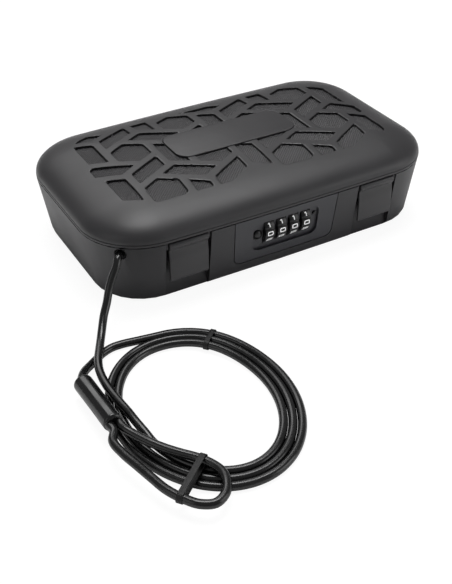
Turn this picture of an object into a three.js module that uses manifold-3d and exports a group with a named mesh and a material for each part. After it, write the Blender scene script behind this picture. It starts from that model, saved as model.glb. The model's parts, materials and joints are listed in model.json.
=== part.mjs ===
// Portable car safe: a two-part moulded case with a rear hinge, two front latches, a four-dial
// combination lock and a tether of coated steel cable that ends in an eye.
// Millimetres, +Z up, +X to the right, the front faces -Y, and the safe stands on z = 0.

import * as THREE from 'three';
import Module from 'manifold-3d';
import { mergeVertices } from 'three/addons/utils/BufferGeometryUtils.js';

const wasm = await Module();
wasm.setup();
const { Manifold, Mesh: SolidMesh } = wasm;

const QUARTER = Math.PI / 2;
const FULL = Math.PI * 2;

// Driving dimensions

const body = {
  length: 243, depth: 148, cornerRadius: 40, bow: 0.9, seamHeight: 43, crownTop: 62.6,
  wall: 2.6, gap: 0.3, overrun: 12, smallestCorner: 4, cornerSteps: 7, sideSteps: 4,
};
const base = { taper: 6.3, bottomRadius: 4, footLift: 1, lipWall: 1, lipHeight: 1.9, radiusSteps: 3 };
const lid = {
  rimHeight: 2.35, ledge: 0.15, crownRun: 54.6, roof: 1.9, rebateHeight: 2.2, rebateWall: 1.3, crownSteps: 9,
};
const tread = {
  columnPitch: 44.65, cellFlat: 11.5, depth: 1.5, halfLength: 97.7, halfDepth: 49.7,
  cornerRadius: 20, shift: -4.3, areaShift: -1.5, smallestPocket: 60,
};
const badge = { halfLength: 43.6, halfDepth: 16.5, cornerRadius: 9, rise: 0.4, seat: 1.2, cornerSteps: 4 };
const foot = { radius: 7, height: 1.7, fromEnd: 33.5, fromSide: 26, sides: 24 };
const hinge = {
  spacingShare: 1 / 2, radius: 2.8, pinRadius: 1.3, lidKnuckle: 11.4, baseKnuckle: 8, sides: 16,
};
const latch = {
  spacingShare: 0.561, recessWidth: 29.9, recessDepth: 9, flapReach: 4.3, flapDrop: 24.7, pivotDepth: 4.6,
  pivotDrop: 3, barrelRadius: 2.2, pinRadius: 1.1, swingRadius: 4.35, lugThickness: 1.35, lugWall: 1.1,
  lugInset: 2.1, lugRise: 1,
  ridgeDrop: 16, ridgeHeight: 2.4, ridgeReach: 5.6, ridgeInset: 3, sides: 12,
};
// The flap's section from its pin: outwards as shares of its reach, upwards as shares of its drop
const flapOutlineShares = [
  [0, 0.089], [0.605, 0.093], [0.814, 0.085], [0.953, 0.053], [1, 0.008], [0.953, -0.04],
  [0.83, -0.075], [0.7, -0.115], [0.645, -0.17], [0.65, -0.23], [0.715, -0.364], [0.71, -0.5],
  [0.64, -0.96], [0.54, -1], [0.372, -1], [0.279, -0.972], [0.3, -0.405], [0.209, -0.3],
  [0.093, -0.202], [0.047, -0.089],
];
const bezel = {
  topHalf: 37.3, bottomHalf: 36, bottom: 9.8, cornerRadius: 5, face: 1.5, border: 3, plug: 3.4,
  dishHalf: 23.8, dishBottom: 16.3, dishTop: 38, dishRadius: 5, dishDepth: 1.6,
  slotGap: 0.7, slotSides: 24, cornerSteps: 4,
};
const dial = {
  count: 4, pitch: 8.87, width: 6.6, radius: 9.3, rowShift: 1, axisHeight: 28.8, proud: 1.9,
  digits: 10, notchDepth: 0.5, notchShare: 0.3,
};
const spacer = { radius: 3.2, length: 1.4, sides: 16 };
const spindle = { radius: 1.5, sides: 12 };
const bolt = {
  height: 2.4, width: 2.6, dialGap: 0.5, toothLength: 1.2, toothDepth: 2, toothGap: 0.5, nose: 3.2, tail: 1.2,
};
const frame = {
  sheet: 1.2, top: 42, shelf: 14, frontGap: 1.3, footInset: 7.8, bendInset: 4.6, bendRise: 4.1, spring: 0.5,
  windowGap: 0.4,
};
const detent = { bottom: 14, rootHeight: 5, top: 31, fingerWidth: 5 };
const button = {
  radius: 2.8, stemRadius: 1, inset: 0.9, headLength: 1.8, stemLength: 13, fromPlate: 1.35, sides: 20,
};
const reset = { radius: 1.2, inset: 0.6, length: 2.6, fromPlate: 1.5, rise: 3.2, sides: 12 };
const striker = {
  sheet: 2.2, width: 9, flange: 12, clearance: 0.6, windowGap: 1, below: 1.4, screwRadius: 1.2,
  headRadius: 2.2, headHeight: 1.2, screwLength: 5, screwSpacing: 5.6, bossWidth: 12, sides: 12,
};
const cover = {
  halfWidth: 36, sheet: 2, top: 41.8, frameGap: 2, postSpacing: 60, postWidth: 7, postTop: 34,
  lowScrew: 12, highScrew: 29, headRadius: 2.6, headHeight: 1.4, shankRadius: 1.3, shank: 4, sides: 12,
};
const liner = {
  thickness: 3, baseGap: 1.5, baseInset: 14.2, baseRadius: 22, lidFromEnd: 36, lidFromSide: 34,
  lidRadius: 12, lidDrop: 1.5, cornerSteps: 4,
};

const cable = { diameter: 4.5, sides: 8 };
const coil = {
  centre: [-109.8, -164.5], halfLength: 49.3, halfDepth: 63.5, pitch: 4.9, stepsPerLoop: 24, sides: 6,
  startDegrees: 160, firstStep: 3, lastStep: 67, loops: 3, outerShare: 2.56, liftHalfAngle: 42,
  startInset: 1.1, settleShares: [0.125, 0.4],
};
const tie = { degrees: 49, thickness: 0.7, width: 3, clearance: 0.35 };
const strap = { thickness: 0.8, width: 3.4, clearance: 0.35 };
const sleeve = { radius: 5.2, shoulder: 1.4, sides: 20 };
const bush = { radius: 3.6, bore: 2.6, inside: 2, recess: 0.9, drop: 4.4, direction: 227.5, sides: 16 };
const stop = { radius: 4, length: 9, sides: 16 };

// Free stretches of the tether, as points chosen by hand
const dropRoute = [
  [-113.5, -68.2, 35.7], [-117.6, -70.7, 31], [-121.5, -73.7, 25.3], [-125, -77.6, 20],
  [-129.4, -82.3, 15.2], [-133.5, -88.4, 11.4], [-137.7, -95.4, 8.9], [-141.2, -101.6, 7.9],
  [-144.7, -108.2, 7.4], [-147.3, -115.3, 7.4], [-148.8, -123, 7.4], [-149.4, -131, 7.4],
  [-149.3, -139, 7.4], [-148.7, -147, 7.3], [-147.9, -155, 7], [-147.1, -163, 6],
  [-145.8, -170.5, 4.4], [-144.7, -178, 3],
];
const tailRoute = [
  [-117.2, -98, 2.4], [-124.4, -96.6, 2.3], [-131.4, -96.4, 2.3], [-138, -98.4, 2.3],
  [-143.9, -102.2, 2.6], [-149.2, -106.8, 3.9], [-153.8, -111.6, 5.9], [-157.4, -116.4, 7.4],
];
const sleeveEnds = [[-160.1, -122.6, 8.4], [-159.1, -163.5, 10.7]];
const eyeRoute = [
  [-164.6, -174, 10.6], [-163.8, -184.2, 10.2], [-161.2, -194.2, 9.8], [-158.3, -205, 9.3],
  [-155.4, -215, 8.8], [-150.6, -224.2, 8.5], [-145.4, -230.8, 8.4], [-138.8, -233.8, 8.4],
  [-132.4, -231, 8.4], [-128, -224.8, 8.4], [-126.6, -217.4, 8.4], [-128.8, -210.1, 8.4],
  [-132.6, -203.8, 8.5], [-138.2, -197.2, 8.6], [-144.2, -189.8, 9], [-149.3, -182.3, 9.6],
  [-153.6, -174.4, 10.2],
];
const strapEnds = [[-131.2, -205.9, 8.4], [-151.4, -222.6, 8.5]];

// Places worked out from the driving dimensions

const halfLength = body.length / 2;
const halfDepth = body.depth / 2;
const seamLow = body.seamHeight - body.gap / 2;
const seamHigh = body.seamHeight + body.gap / 2;
const rimTop = body.seamHeight + lid.rimHeight;
const crownRise = body.crownTop - rimTop;
const floorTop = base.footLift + body.wall;
const cellRadius = tread.cellFlat / Math.cos(Math.PI / 6);
const rowPitch = tread.columnPitch / Math.sqrt(3);
const cableRadius = cable.diameter / 2;
const beyond = body.overrun * body.overrun;

// Depth of the front wall's face at a height
const wallFace = (height) => halfDepth - base.taper + (base.taper * height) / body.seamHeight;

const dialAxis = wallFace(dial.axisHeight) + dial.proud - dial.radius;
const dialBack = dialAxis - dial.radius;
const dialCentres = Array.from({ length: dial.count }, (_, i) => (
  dial.rowShift + (i - (dial.count - 1) / 2) * dial.pitch
));
const sideRoom = dial.pitch / 2 + bolt.toothLength / 2 + body.gap;
const leftPlate = dialCentres[0] - sideRoom;
const rightPlate = dialCentres[dial.count - 1] + sideRoom;
const springBack = dialBack - body.gap - frame.spring;
const frameBack = springBack - body.gap - frame.sheet;
const boltBottom = dial.axisHeight + dial.radius + bolt.dialGap;
const boltTop = boltBottom + bolt.height;
const boltNose = leftPlate - frame.sheet - bolt.nose;
const boltEnd = rightPlate + frame.sheet + bolt.tail;
const strikerFace = boltNose - striker.clearance;
const coverFront = frameBack - cover.frameGap;

// Geometry to solid and back

function solid(geometry) {
  geometry.deleteAttribute('normal');
  geometry.deleteAttribute('uv');
  const merged = mergeVertices(geometry, body.gap / 1000);
  const mesh = new SolidMesh({
    numProp: 3,
    vertProperties: new Float32Array(merged.attributes.position.array),
    triVerts: new Uint32Array(merged.index.array),
  });
  mesh.merge();
  return new Manifold(mesh);
}

function geometryOf(shape) {
  const mesh = shape.getMesh();
  const geometry = new THREE.BufferGeometry();
  geometry.setAttribute('position', new THREE.BufferAttribute(new Float32Array(mesh.vertProperties), 3));
  geometry.setIndex(new THREE.BufferAttribute(new Uint32Array(mesh.triVerts), 1));
  geometry.computeVertexNormals();
  return geometry;
}

const join = (...shapes) => shapes.reduce((whole, shape) => whole.add(shape));
const cut = (shape, ...tools) => tools.reduce((rest, tool) => rest.subtract(tool), shape);

// Simple solids

// A block between two opposite corners
function block(a, b) {
  const size = a.map((value, i) => Math.abs(b[i] - value));
  const middle = a.map((value, i) => (value + b[i]) / 2);
  return solid(new THREE.BoxGeometry(...size).translate(...middle));
}

// A round bar between two points
function bar(from, to, radius, sides) {
  const start = new THREE.Vector3(...from);
  const along = new THREE.Vector3(...to).sub(start);
  const geometry = new THREE.CylinderGeometry(radius, radius, along.length(), sides);
  const turn = new THREE.Quaternion();
  turn.setFromUnitVectors(new THREE.Vector3(0, 1, 0), along.clone().normalize());
  geometry.applyQuaternion(turn);
  geometry.translate(...start.addScaledVector(along, 1 / 2).toArray());
  return solid(geometry);
}

// A flat outline pushed from one value of an axis to another
function push(outline, axis, from, to, curveSegments = 1) {
  const options = { depth: to - from, bevelEnabled: false, curveSegments };
  const geometry = new THREE.ExtrudeGeometry(outline, options);
  if (axis === 'z') geometry.translate(0, 0, from);
  if (axis === 'y') geometry.rotateX(QUARTER).translate(0, to, 0);
  if (axis === 'x') geometry.rotateX(QUARTER).rotateZ(QUARTER).translate(from, 0, 0);
  return solid(geometry);
}

const outlineOf = (points) => new THREE.Shape(points.map(([x, y]) => new THREE.Vector2(x, y)));

function roundedOutline(left, right, bottom, top, radius) {
  const shape = new THREE.Shape();
  shape.absarc(right - radius, bottom + radius, radius, -QUARTER, 0);
  shape.absarc(right - radius, top - radius, radius, 0, QUARTER);
  shape.absarc(left + radius, top - radius, radius, QUARTER, 2 * QUARTER);
  shape.absarc(left + radius, bottom + radius, radius, 2 * QUARTER, 3 * QUARTER);
  return shape;
}

// The case's plan at an inset from its widest outline: round corners and slightly bowed long sides
function planRing(inset, height) {
  const a = halfLength - inset;
  const b = halfDepth - inset;
  const radius = Math.max(body.cornerRadius - inset, body.smallestCorner);
  const straight = a - radius;
  const points = [];
  const corner = (sx, sy, start) => {
    for (let i = 0; i <= body.cornerSteps; i++) {
      const angle = start + (QUARTER * i) / body.cornerSteps;
      const x = sx * straight + radius * Math.cos(angle);
      points.push([x, sy * (b - body.bow - radius) + radius * Math.sin(angle), height]);
    }
  };
  const side = (sx, sy) => {
    for (let i = 1; i < body.sideSteps; i++) {
      const share = 1 - (2 * i) / body.sideSteps;
      points.push([sx * straight * share, sy * (b - body.bow * share * share), height]);
    }
  };
  corner(1, -1, -QUARTER);
  corner(1, 1, 0);
  side(1, 1);
  corner(-1, 1, QUARTER);
  corner(-1, -1, 2 * QUARTER);
  side(-1, -1);
  return points;
}

// A closed skin over a stack of rings with as many points each
function skin(rings) {
  const count = rings[0].length;
  const positions = rings.flat(2);
  const index = [];
  for (let r = 0; r + 1 < rings.length; r++) {
    for (let i = 0; i < count; i++) {
      const a = r * count + i;
      const b = r * count + ((i + 1) % count);
      index.push(a, b, b + count, a, b + count, a + count);
    }
  }
  const cap = (start, flip) => {
    const ring = rings[start / count];
    const centre = positions.length / 3;
    for (let k = 0; k < 3; k++) positions.push(ring.reduce((sum, point) => sum + point[k], 0) / count);
    for (let i = 0; i < count; i++) {
      const pair = [start + i, start + ((i + 1) % count)];
      index.push(centre, ...(flip ? pair.reverse() : pair));
    }
  };
  cap(0, true);
  cap((rings.length - 1) * count, false);
  const geometry = new THREE.BufferGeometry();
  geometry.setAttribute('position', new THREE.Float32BufferAttribute(positions, 3));
  geometry.setIndex(index);
  return geometry;
}

const stack = (profile) => solid(skin(profile.map(([inset, height]) => planRing(inset, height))));

// The base's tapered tub at an offset inwards, up to a height
function tub(offset, top) {
  const radius = Math.max(base.bottomRadius - offset, body.smallestCorner);
  const bottom = base.footLift + offset;
  const profile = [];
  for (let i = 0; i <= base.radiusSteps; i++) {
    const angle = (QUARTER * i) / base.radiusSteps;
    const height = bottom + radius * (1 - Math.cos(angle));
    const inset = base.taper * (1 - height / body.seamHeight) + radius * (1 - Math.sin(angle));
    profile.push([inset + offset, height]);
  }
  profile.push([offset, Math.min(top, body.seamHeight)]);
  if (top > body.seamHeight) profile.push([offset, top]);
  return stack(profile);
}

// The lid's dome over a lower profile: inset and height follow a quarter ellipse up to the crown
function dome(lower, startInset, startHeight, run, rise) {
  const profile = [...lower];
  for (let i = 0; i <= lid.crownSteps; i++) {
    const angle = (QUARTER * i) / lid.crownSteps;
    profile.push([startInset + run * (1 - Math.cos(angle)), startHeight + rise * Math.sin(angle)]);
  }
  return stack(profile);
}

// Materials

const plastic = (color, roughness) => new THREE.MeshStandardMaterial({ color, roughness, metalness: 0 });
const metal = (color, roughness) => new THREE.MeshStandardMaterial({ color, roughness, metalness: 1 });
const lidPlastic = () => plastic(0x4a494b, 0.45);
const basePlastic = () => plastic(0x3e3d40, 0.48);
const bezelPlastic = () => plastic(0x54545c, 0.42);
const dialPlastic = () => plastic(0x141416, 0.3);
const coverPlastic = () => plastic(0x2b2b2d, 0.55);
const rubber = () => plastic(0x1c1c1d, 0.8);
const foam = () => plastic(0x2a2a2c, 0.95);
const vinyl = () => plastic(0x161617, 0.25);
const steel = () => metal(0x9a9a9c, 0.35);
const zinc = () => metal(0xb0b0b4, 0.3);

const group = new THREE.Group();
const safe = new THREE.Group();
// The hinge barrels stand out behind, so the case lies forward by half of that
safe.position.y = -hinge.radius / 2;
group.add(safe);

function place(name, shape, material) {
  const mesh = new THREE.Mesh(geometryOf(shape), material);
  mesh.name = name;
  safe.add(mesh);
}

// Tread pattern on the lid: hexagons on a triangular lattice, with a slanted bar between neighbours

function heading(degrees) {
  const angle = THREE.MathUtils.degToRad(degrees);
  return [Math.cos(angle), Math.sin(angle)];
}

function hexagon() {
  const corners = Array.from({ length: 6 }, (_, i) => heading(30 + 60 * i));
  return corners.map(([x, y]) => [x * cellRadius, y * cellRadius]);
}

// A bar is a parallelogram of two cell radii by one, its sides 60 degrees apart
function slantedBar(longDegrees) {
  const long = heading(longDegrees);
  const short = heading(longDegrees + 60).map((share) => share / 2);
  const corner = (i, j) => long.map((share, k) => (share * i + short[k] * j) * cellRadius);
  return [corner(-1, -1), corner(1, -1), corner(1, 1), corner(-1, 1)];
}

function treadCells() {
  const cells = [];
  const reach = 3;
  for (let column = 1 - reach; column <= reach; column++) {
    for (let row = -reach; row <= reach; row++) {
      const x = (column - 1 / 2) * tread.columnPitch;
      const y = tread.shift + rowPitch * (2 * row + (column % 2 === 0 ? -1 : 1) / 2);
      cells.push([x, y, hexagon()]);
      cells.push([x, y + rowPitch, slantedBar(30)]);
      cells.push([x + tread.columnPitch / 2, y + rowPitch / 2, slantedBar(-30)]);
      cells.push([x + tread.columnPitch / 2, y - rowPitch / 2, slantedBar(-90)]);
    }
  }
  const reachX = tread.halfLength + cellRadius;
  const reachY = tread.halfDepth + cellRadius;
  return cells.filter(([x, y]) => Math.abs(x) < reachX && Math.abs(y) < reachY);
}

function treadPockets(bottom, top, area) {
  const pockets = [];
  for (const [x, y, corners] of treadCells()) {
    const outline = outlineOf(corners.map(([u, v]) => [u + x, v + y]));
    const pocket = push(outline, 'z', bottom, top).intersect(area);
    if (pocket.volume() > tread.smallestPocket * (top - bottom)) pockets.push(pocket);
  }
  return join(...pockets);
}

const badgeOutline = (grow) => roundedOutline(
  -badge.halfLength - grow, badge.halfLength + grow,
  -badge.halfDepth - grow, badge.halfDepth + grow, badge.cornerRadius + grow,
);
const treadOutline = roundedOutline(
  -tread.halfLength, tread.halfLength, tread.areaShift - tread.halfDepth, tread.areaShift + tread.halfDepth,
  tread.cornerRadius,
);
const badgeColumn = push(badgeOutline(body.gap), 'z', 0, beyond, badge.cornerSteps);
const treadArea = push(treadOutline, 'z', 0, beyond, badge.cornerSteps);
const treadFloor = dome([[0, 0]], lid.ledge, rimTop - tread.depth, lid.crownRun, crownRise);
const pockets = cut(
  treadPockets(body.seamHeight, body.crownTop + body.overrun, treadArea), badgeColumn, treadFloor,
);
const badgeBottom = body.crownTop - badge.seat;
const badgeSeat = push(badgeOutline(body.gap), 'z', badgeBottom, beyond, badge.cornerSteps);
place('badge_plate', push(
  badgeOutline(0), 'z', badgeBottom + body.gap, body.crownTop + badge.rise, badge.cornerSteps,
), bezelPlastic());

// Rear hinge: two barrels, each with two knuckles on the base, one on the lid and a pin

const sides = [-1, 1];
const hingeCentres = sides.map((side) => side * halfLength * hinge.spacingShare);
const hingeEnd = hinge.lidKnuckle / 2 + body.gap + hinge.baseKnuckle;
const hingeBar = (from, to, radius) => bar(
  [from, halfDepth, body.seamHeight], [to, halfDepth, body.seamHeight], radius, hinge.sides,
);
const lidKnuckleBars = (grow) => hingeCentres.map((x) => hingeBar(
  x - hinge.lidKnuckle / 2 - grow, x + hinge.lidKnuckle / 2 + grow, hinge.radius + grow,
));
const baseKnuckleBars = (grow) => hingeCentres.flatMap((x) => sides.map((side) => hingeBar(
  x + side * (hinge.lidKnuckle / 2 + body.gap - grow), x + side * (hingeEnd + grow), hinge.radius + grow,
)));
const hingePinBars = (grow) => hingeCentres.map((x) => hingeBar(
  x - hingeEnd - grow, x + hingeEnd + grow, hinge.pinRadius + grow,
));
hingePinBars(0).forEach((pin, i) => place(`hinge_pin_${i === 0 ? 'left' : 'right'}`, pin, steel()));

// Latches: a flap on a pin between two lugs of the lid, over a recess in the base's front

const latchCentres = sides.map((side) => side * halfLength * latch.spacingShare);
const pivotDepth = halfDepth - latch.pivotDepth;
const pivotHeight = body.seamHeight - latch.pivotDrop;
const recessBack = halfDepth - latch.recessDepth;
const recessHalf = latch.recessWidth / 2;
const lugEnd = recessHalf - body.gap;
const flapHalf = lugEnd - latch.lugThickness - body.gap;
const latchBar = (x, half, radius) => bar(
  [x - half, -pivotDepth, pivotHeight], [x + half, -pivotDepth, pivotHeight], radius, latch.sides,
);
const latchPinBars = (grow) => latchCentres.map((x) => latchBar(x, lugEnd + grow, latch.pinRadius + grow));
const swingRooms = latchCentres.map((x) => latchBar(x, flapHalf + body.gap, latch.swingRadius + body.gap));
const lugReach = latch.pinRadius + body.gap + latch.lugWall;
const latchLugs = latchCentres.flatMap((x) => sides.map((side) => block(
  [x + side * (flapHalf + body.gap), -(halfDepth - latch.lugInset), pivotHeight - lugReach],
  [x + side * lugEnd, -(pivotDepth - lugReach), rimTop + latch.lugRise],
)));

function latchFlap(x) {
  const section = flapOutlineShares.map(([out, up]) => [
    -pivotDepth - out * latch.flapReach, pivotHeight + up * latch.flapDrop,
  ]);
  const flap = push(outlineOf(section), 'x', x - flapHalf, x + flapHalf);
  const bore = latchBar(x, flapHalf + body.gap, latch.pinRadius + body.gap);
  return cut(join(flap, latchBar(x, flapHalf, latch.barrelRadius)), bore);
}

latchCentres.forEach((x, i) => place(`latch_${i === 0 ? 'left' : 'right'}`, latchFlap(x), lidPlastic()));
latchPinBars(0).forEach((pin, i) => place(`latch_pin_${i === 0 ? 'left' : 'right'}`, pin, steel()));

// Striker under the lid: an angled plate on a boss, with a window for the bolt

const strikerBack = strikerFace - striker.sheet;
const flangeEnd = strikerBack - striker.flange;
const flangeTop = rimTop - body.gap;
const flangeBottom = flangeTop - striker.sheet;
const boltWindow = (from, to, gap) => block(
  [from, -dialAxis - bolt.width / 2 - gap, boltBottom - gap],
  [to, -dialAxis + bolt.width / 2 + gap, boltTop + gap],
);
const firstScrew = strikerBack - striker.headRadius - body.gap;
const strikerScrews = [firstScrew, firstScrew - striker.screwSpacing];
const strikerScrewBar = (x, grow) => bar(
  [x, -dialAxis, flangeBottom - grow], [x, -dialAxis, flangeTop + striker.screwLength + grow],
  striker.screwRadius + grow, striker.sides,
);
const strikerHalf = striker.width / 2;
const strikerPlate = join(
  block(
    [strikerBack, -dialAxis - strikerHalf, boltBottom - striker.windowGap - striker.below],
    [strikerFace, -dialAxis + strikerHalf, flangeTop],
  ),
  block(
    [flangeEnd, -dialAxis - strikerHalf, flangeBottom],
    [strikerFace, -dialAxis + strikerHalf, flangeTop],
  ),
);
const strikerHoles = strikerScrews.map((x) => strikerScrewBar(x, body.gap));
place('striker', cut(
  strikerPlate, boltWindow(strikerBack - body.gap, strikerFace + body.gap, striker.windowGap),
  ...strikerHoles,
), steel());
strikerScrews.forEach((x, i) => place(`striker_screw_${i + 1}`, join(
  strikerScrewBar(x, 0),
  bar(
    [x, -dialAxis, flangeBottom - body.gap - striker.headHeight], [x, -dialAxis, flangeBottom - body.gap],
    striker.headRadius, striker.sides,
  ),
  bar(
    [x, -dialAxis, flangeBottom - 2 * body.gap], [x, -dialAxis, flangeBottom],
    striker.screwRadius, striker.sides,
  ),
), zinc()));

// Lid

const lidOuter = dome([[0, seamHigh], [0, rimTop]], lid.ledge, rimTop, lid.crownRun, crownRise);
const innerInset = lid.ledge + body.wall;
const innerRise = crownRise - tread.depth - lid.roof;
const rebateTop = seamHigh + lid.rebateHeight;
const lidCavity = dome(
  [[lid.rebateWall, seamLow - body.overrun], [lid.rebateWall, rebateTop], [innerInset, rebateTop]],
  innerInset, rimTop, lid.crownRun - body.wall, innerRise,
);
const strikerBoss = block(
  [flangeEnd - body.gap, -dialAxis - striker.bossWidth / 2, rimTop],
  [strikerFace + body.gap, -dialAxis + striker.bossWidth / 2, body.crownTop],
);
const lidBody = cut(lidOuter, lidCavity, ...swingRooms);
place('lid_shell', cut(
  join(lidBody, strikerBoss.intersect(lidOuter), ...latchLugs, ...lidKnuckleBars(0)),
  pockets, badgeSeat, ...baseKnuckleBars(body.gap), ...hingePinBars(body.gap),
  ...latchPinBars(body.gap), ...strikerHoles,
), lidPlastic());
const lidLinerTop = rimTop + innerRise - liner.lidDrop;
const lidLinerOutline = roundedOutline(
  -halfLength + liner.lidFromEnd, halfLength - liner.lidFromEnd,
  -halfDepth + liner.lidFromSide, halfDepth - liner.lidFromSide, liner.lidRadius,
);
place('lid_liner', push(
  lidLinerOutline, 'z', lidLinerTop - liner.thickness, lidLinerTop, liner.cornerSteps,
), foam());

// Lock panel in the base's front wall: a sheet that follows the wall, a plug behind and a dish for dials

function panelOutline(inset, top) {
  const low = bezel.bottom + inset;
  const radius = Math.max(bezel.cornerRadius - inset, body.gap);
  const lean = (bezel.topHalf - bezel.bottomHalf) / (body.seamHeight - bezel.bottom);
  const half = (height) => bezel.bottomHalf - inset + lean * (height - bezel.bottom);
  const shape = new THREE.Shape();
  shape.absarc(half(low + radius) - radius, low + radius, radius, -QUARTER, 0);
  shape.lineTo(half(top), top);
  shape.lineTo(-half(top), top);
  shape.absarc(-half(low + radius) + radius, low + radius, radius, 2 * QUARTER, 3 * QUARTER);
  return shape;
}

const panelColumn = (inset, top) => push(panelOutline(inset, top), 'y', -beyond, 0, bezel.cornerSteps);
const above = body.seamHeight + body.overrun;
const outerTub = tub(0, seamLow);
const plugTop = boltBottom;
const dishColumn = push(
  roundedOutline(-bezel.dishHalf, bezel.dishHalf, bezel.dishBottom, bezel.dishTop, bezel.dishRadius),
  'y', -beyond, 0, bezel.cornerSteps,
);
const dialBar = (x, half, radius, steps) => bar(
  [x - half, -dialAxis, dial.axisHeight], [x + half, -dialAxis, dial.axisHeight], radius, steps,
);
const buttonX = leftPlate - frame.sheet - button.fromPlate;
const buttonFace = wallFace(dial.axisHeight) - button.inset;
const buttonEnd = buttonFace - button.stemLength;
const buttonBar = (grow) => bar(
  [buttonX, -beyond, dial.axisHeight], [buttonX, -buttonEnd, dial.axisHeight], button.radius + grow,
  button.sides,
);
const resetX = rightPlate + reset.fromPlate;
const resetHeight = dial.axisHeight + reset.rise;
const resetBar = (from, to, grow) => bar(
  [resetX, -from, resetHeight], [resetX, -to, resetHeight], reset.radius + grow, reset.sides,
);
const bezelSheet = cut(panelColumn(0, seamLow).intersect(outerTub), tub(bezel.face, above));
const bezelPlug = cut(
  panelColumn(bezel.border + body.gap, plugTop - body.gap).intersect(outerTub), tub(bezel.plug, above),
);
const slotHalf = dial.width / 2 + bezel.slotGap / 2;
const slots = dialCentres.map((x) => dialBar(x, slotHalf, dial.radius + bezel.slotGap, bezel.slotSides));
place('lock_bezel', cut(
  join(bezelSheet, bezelPlug), cut(dishColumn, tub(bezel.dishDepth, above)), ...slots,
  buttonBar(body.gap), resetBar(beyond, 0, body.gap),
), bezelPlastic());

// Number dials on a spindle, kept apart by spacers

function dialShape(x) {
  const outline = [];
  for (let i = 0; i < dial.digits; i++) {
    const middle = (FULL * i) / dial.digits;
    const half = (FULL / dial.digits / 2) * (1 - dial.notchShare);
    const low = dial.radius - dial.notchDepth;
    const at = (angle, radius) => outline.push([
      -dialAxis - radius * Math.cos(angle), dial.axisHeight + radius * Math.sin(angle),
    ]);
    at(middle - half, dial.radius);
    at(middle, dial.radius);
    at(middle + half, dial.radius);
    at(middle + FULL / dial.digits / 2, low);
  }
  const wheel = push(outlineOf(outline), 'x', x - dial.width / 2, x + dial.width / 2);
  const gateHalf = bolt.width / 2 + bolt.toothGap;
  const gate = block(
    [x - dial.width, -dialAxis - gateHalf, boltBottom - bolt.toothDepth - bolt.dialGap - bolt.toothGap],
    [x + dial.width, -dialAxis + gateHalf, boltTop],
  );
  return cut(wheel, dialBar(x, dial.width, spindle.radius + body.gap, spindle.sides), gate);
}

dialCentres.forEach((x, i) => place(`dial_${i + 1}`, dialShape(x), dialPlastic()));
const spacerCentres = [dialCentres[0] - dial.pitch, ...dialCentres].map((x) => x + dial.pitch / 2);
spacerCentres.forEach((x, i) => place(`dial_spacer_${i + 1}`, cut(
  dialBar(x, spacer.length / 2, spacer.radius, spacer.sides),
  dialBar(x, spacer.length, spindle.radius + body.gap, spindle.sides),
), steel()));
const spindleBar = (grow) => bar(
  [leftPlate - frame.sheet - grow, -dialAxis, dial.axisHeight],
  [rightPlate + frame.sheet + grow, -dialAxis, dial.axisHeight], spindle.radius + grow, spindle.sides,
);
place('dial_spindle', spindleBar(0), steel());

// Bolt above the dials: it slides left by one dial pitch and its teeth pass through gates in the dials

const boltHalf = bolt.width / 2;
const toothBottom = boltBottom - bolt.dialGap - bolt.toothDepth;
const boltTeeth = dialCentres.map((x) => x + dial.pitch / 2).map((x) => block(
  [x - bolt.toothLength / 2, -dialAxis - boltHalf, toothBottom],
  [x + bolt.toothLength / 2, -dialAxis + boltHalf, boltTop],
));
place('lock_bolt', join(
  block([boltNose, -dialAxis - boltHalf, boltBottom], [boltEnd, -dialAxis + boltHalf, boltTop]), ...boltTeeth,
), zinc());

// Frame that carries the spindle, the bolt and the detent spring

const frameFloor = floorTop + body.gap;
const frameBend = frameFloor + frame.bendRise;
const frameFront = (height) => wallFace(height) - bezel.plug - frame.frontGap;
const sideSection = outlineOf([
  [frame.footInset - wallFace(frameFloor), frameFloor], [frame.bendInset - wallFace(frameBend), frameBend],
  [-frameFront(frame.shelf), frame.shelf], [-frameFront(frame.top), frame.top],
  [-frameBack, frame.top], [-frameBack, frameFloor],
].reverse());
place('lock_frame', cut(
  join(
    push(sideSection, 'x', leftPlate - frame.sheet, leftPlate),
    push(sideSection, 'x', rightPlate, rightPlate + frame.sheet),
    block(
      [leftPlate - frame.sheet, -frameBack - frame.sheet, frameFloor],
      [rightPlate + frame.sheet, -frameBack, frame.top],
    ),
  ),
  boltWindow(leftPlate - 2 * frame.sheet, leftPlate + frame.sheet, frame.windowGap),
  boltWindow(rightPlate - frame.sheet, rightPlate + 2 * frame.sheet, frame.windowGap),
  spindleBar(body.gap),
), steel());
const fingers = dialCentres.map((x) => block(
  [x - detent.fingerWidth / 2, -springBack - frame.spring, detent.bottom],
  [x + detent.fingerWidth / 2, -springBack, detent.top],
));
place('detent_spring', join(
  block(
    [leftPlate + body.gap, -springBack - frame.spring, detent.bottom],
    [rightPlate - body.gap, -springBack, detent.bottom + detent.rootHeight],
  ), ...fingers,
), steel());

// Release button and reset pin in the panel

place('release_button', join(
  bar(
    [buttonX, -buttonFace, dial.axisHeight], [buttonX, -(buttonFace - button.headLength), dial.axisHeight],
    button.radius, button.sides,
  ),
  bar(
    [buttonX, -buttonFace + body.gap, dial.axisHeight], [buttonX, -buttonEnd, dial.axisHeight],
    button.stemRadius, button.sides,
  ),
), dialPlastic());
const resetFace = wallFace(resetHeight) - reset.inset;
place('reset_pin', resetBar(resetFace, resetFace - reset.length, 0), steel());

// Cover behind the lock, held by four screws in two posts of the base

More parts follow.
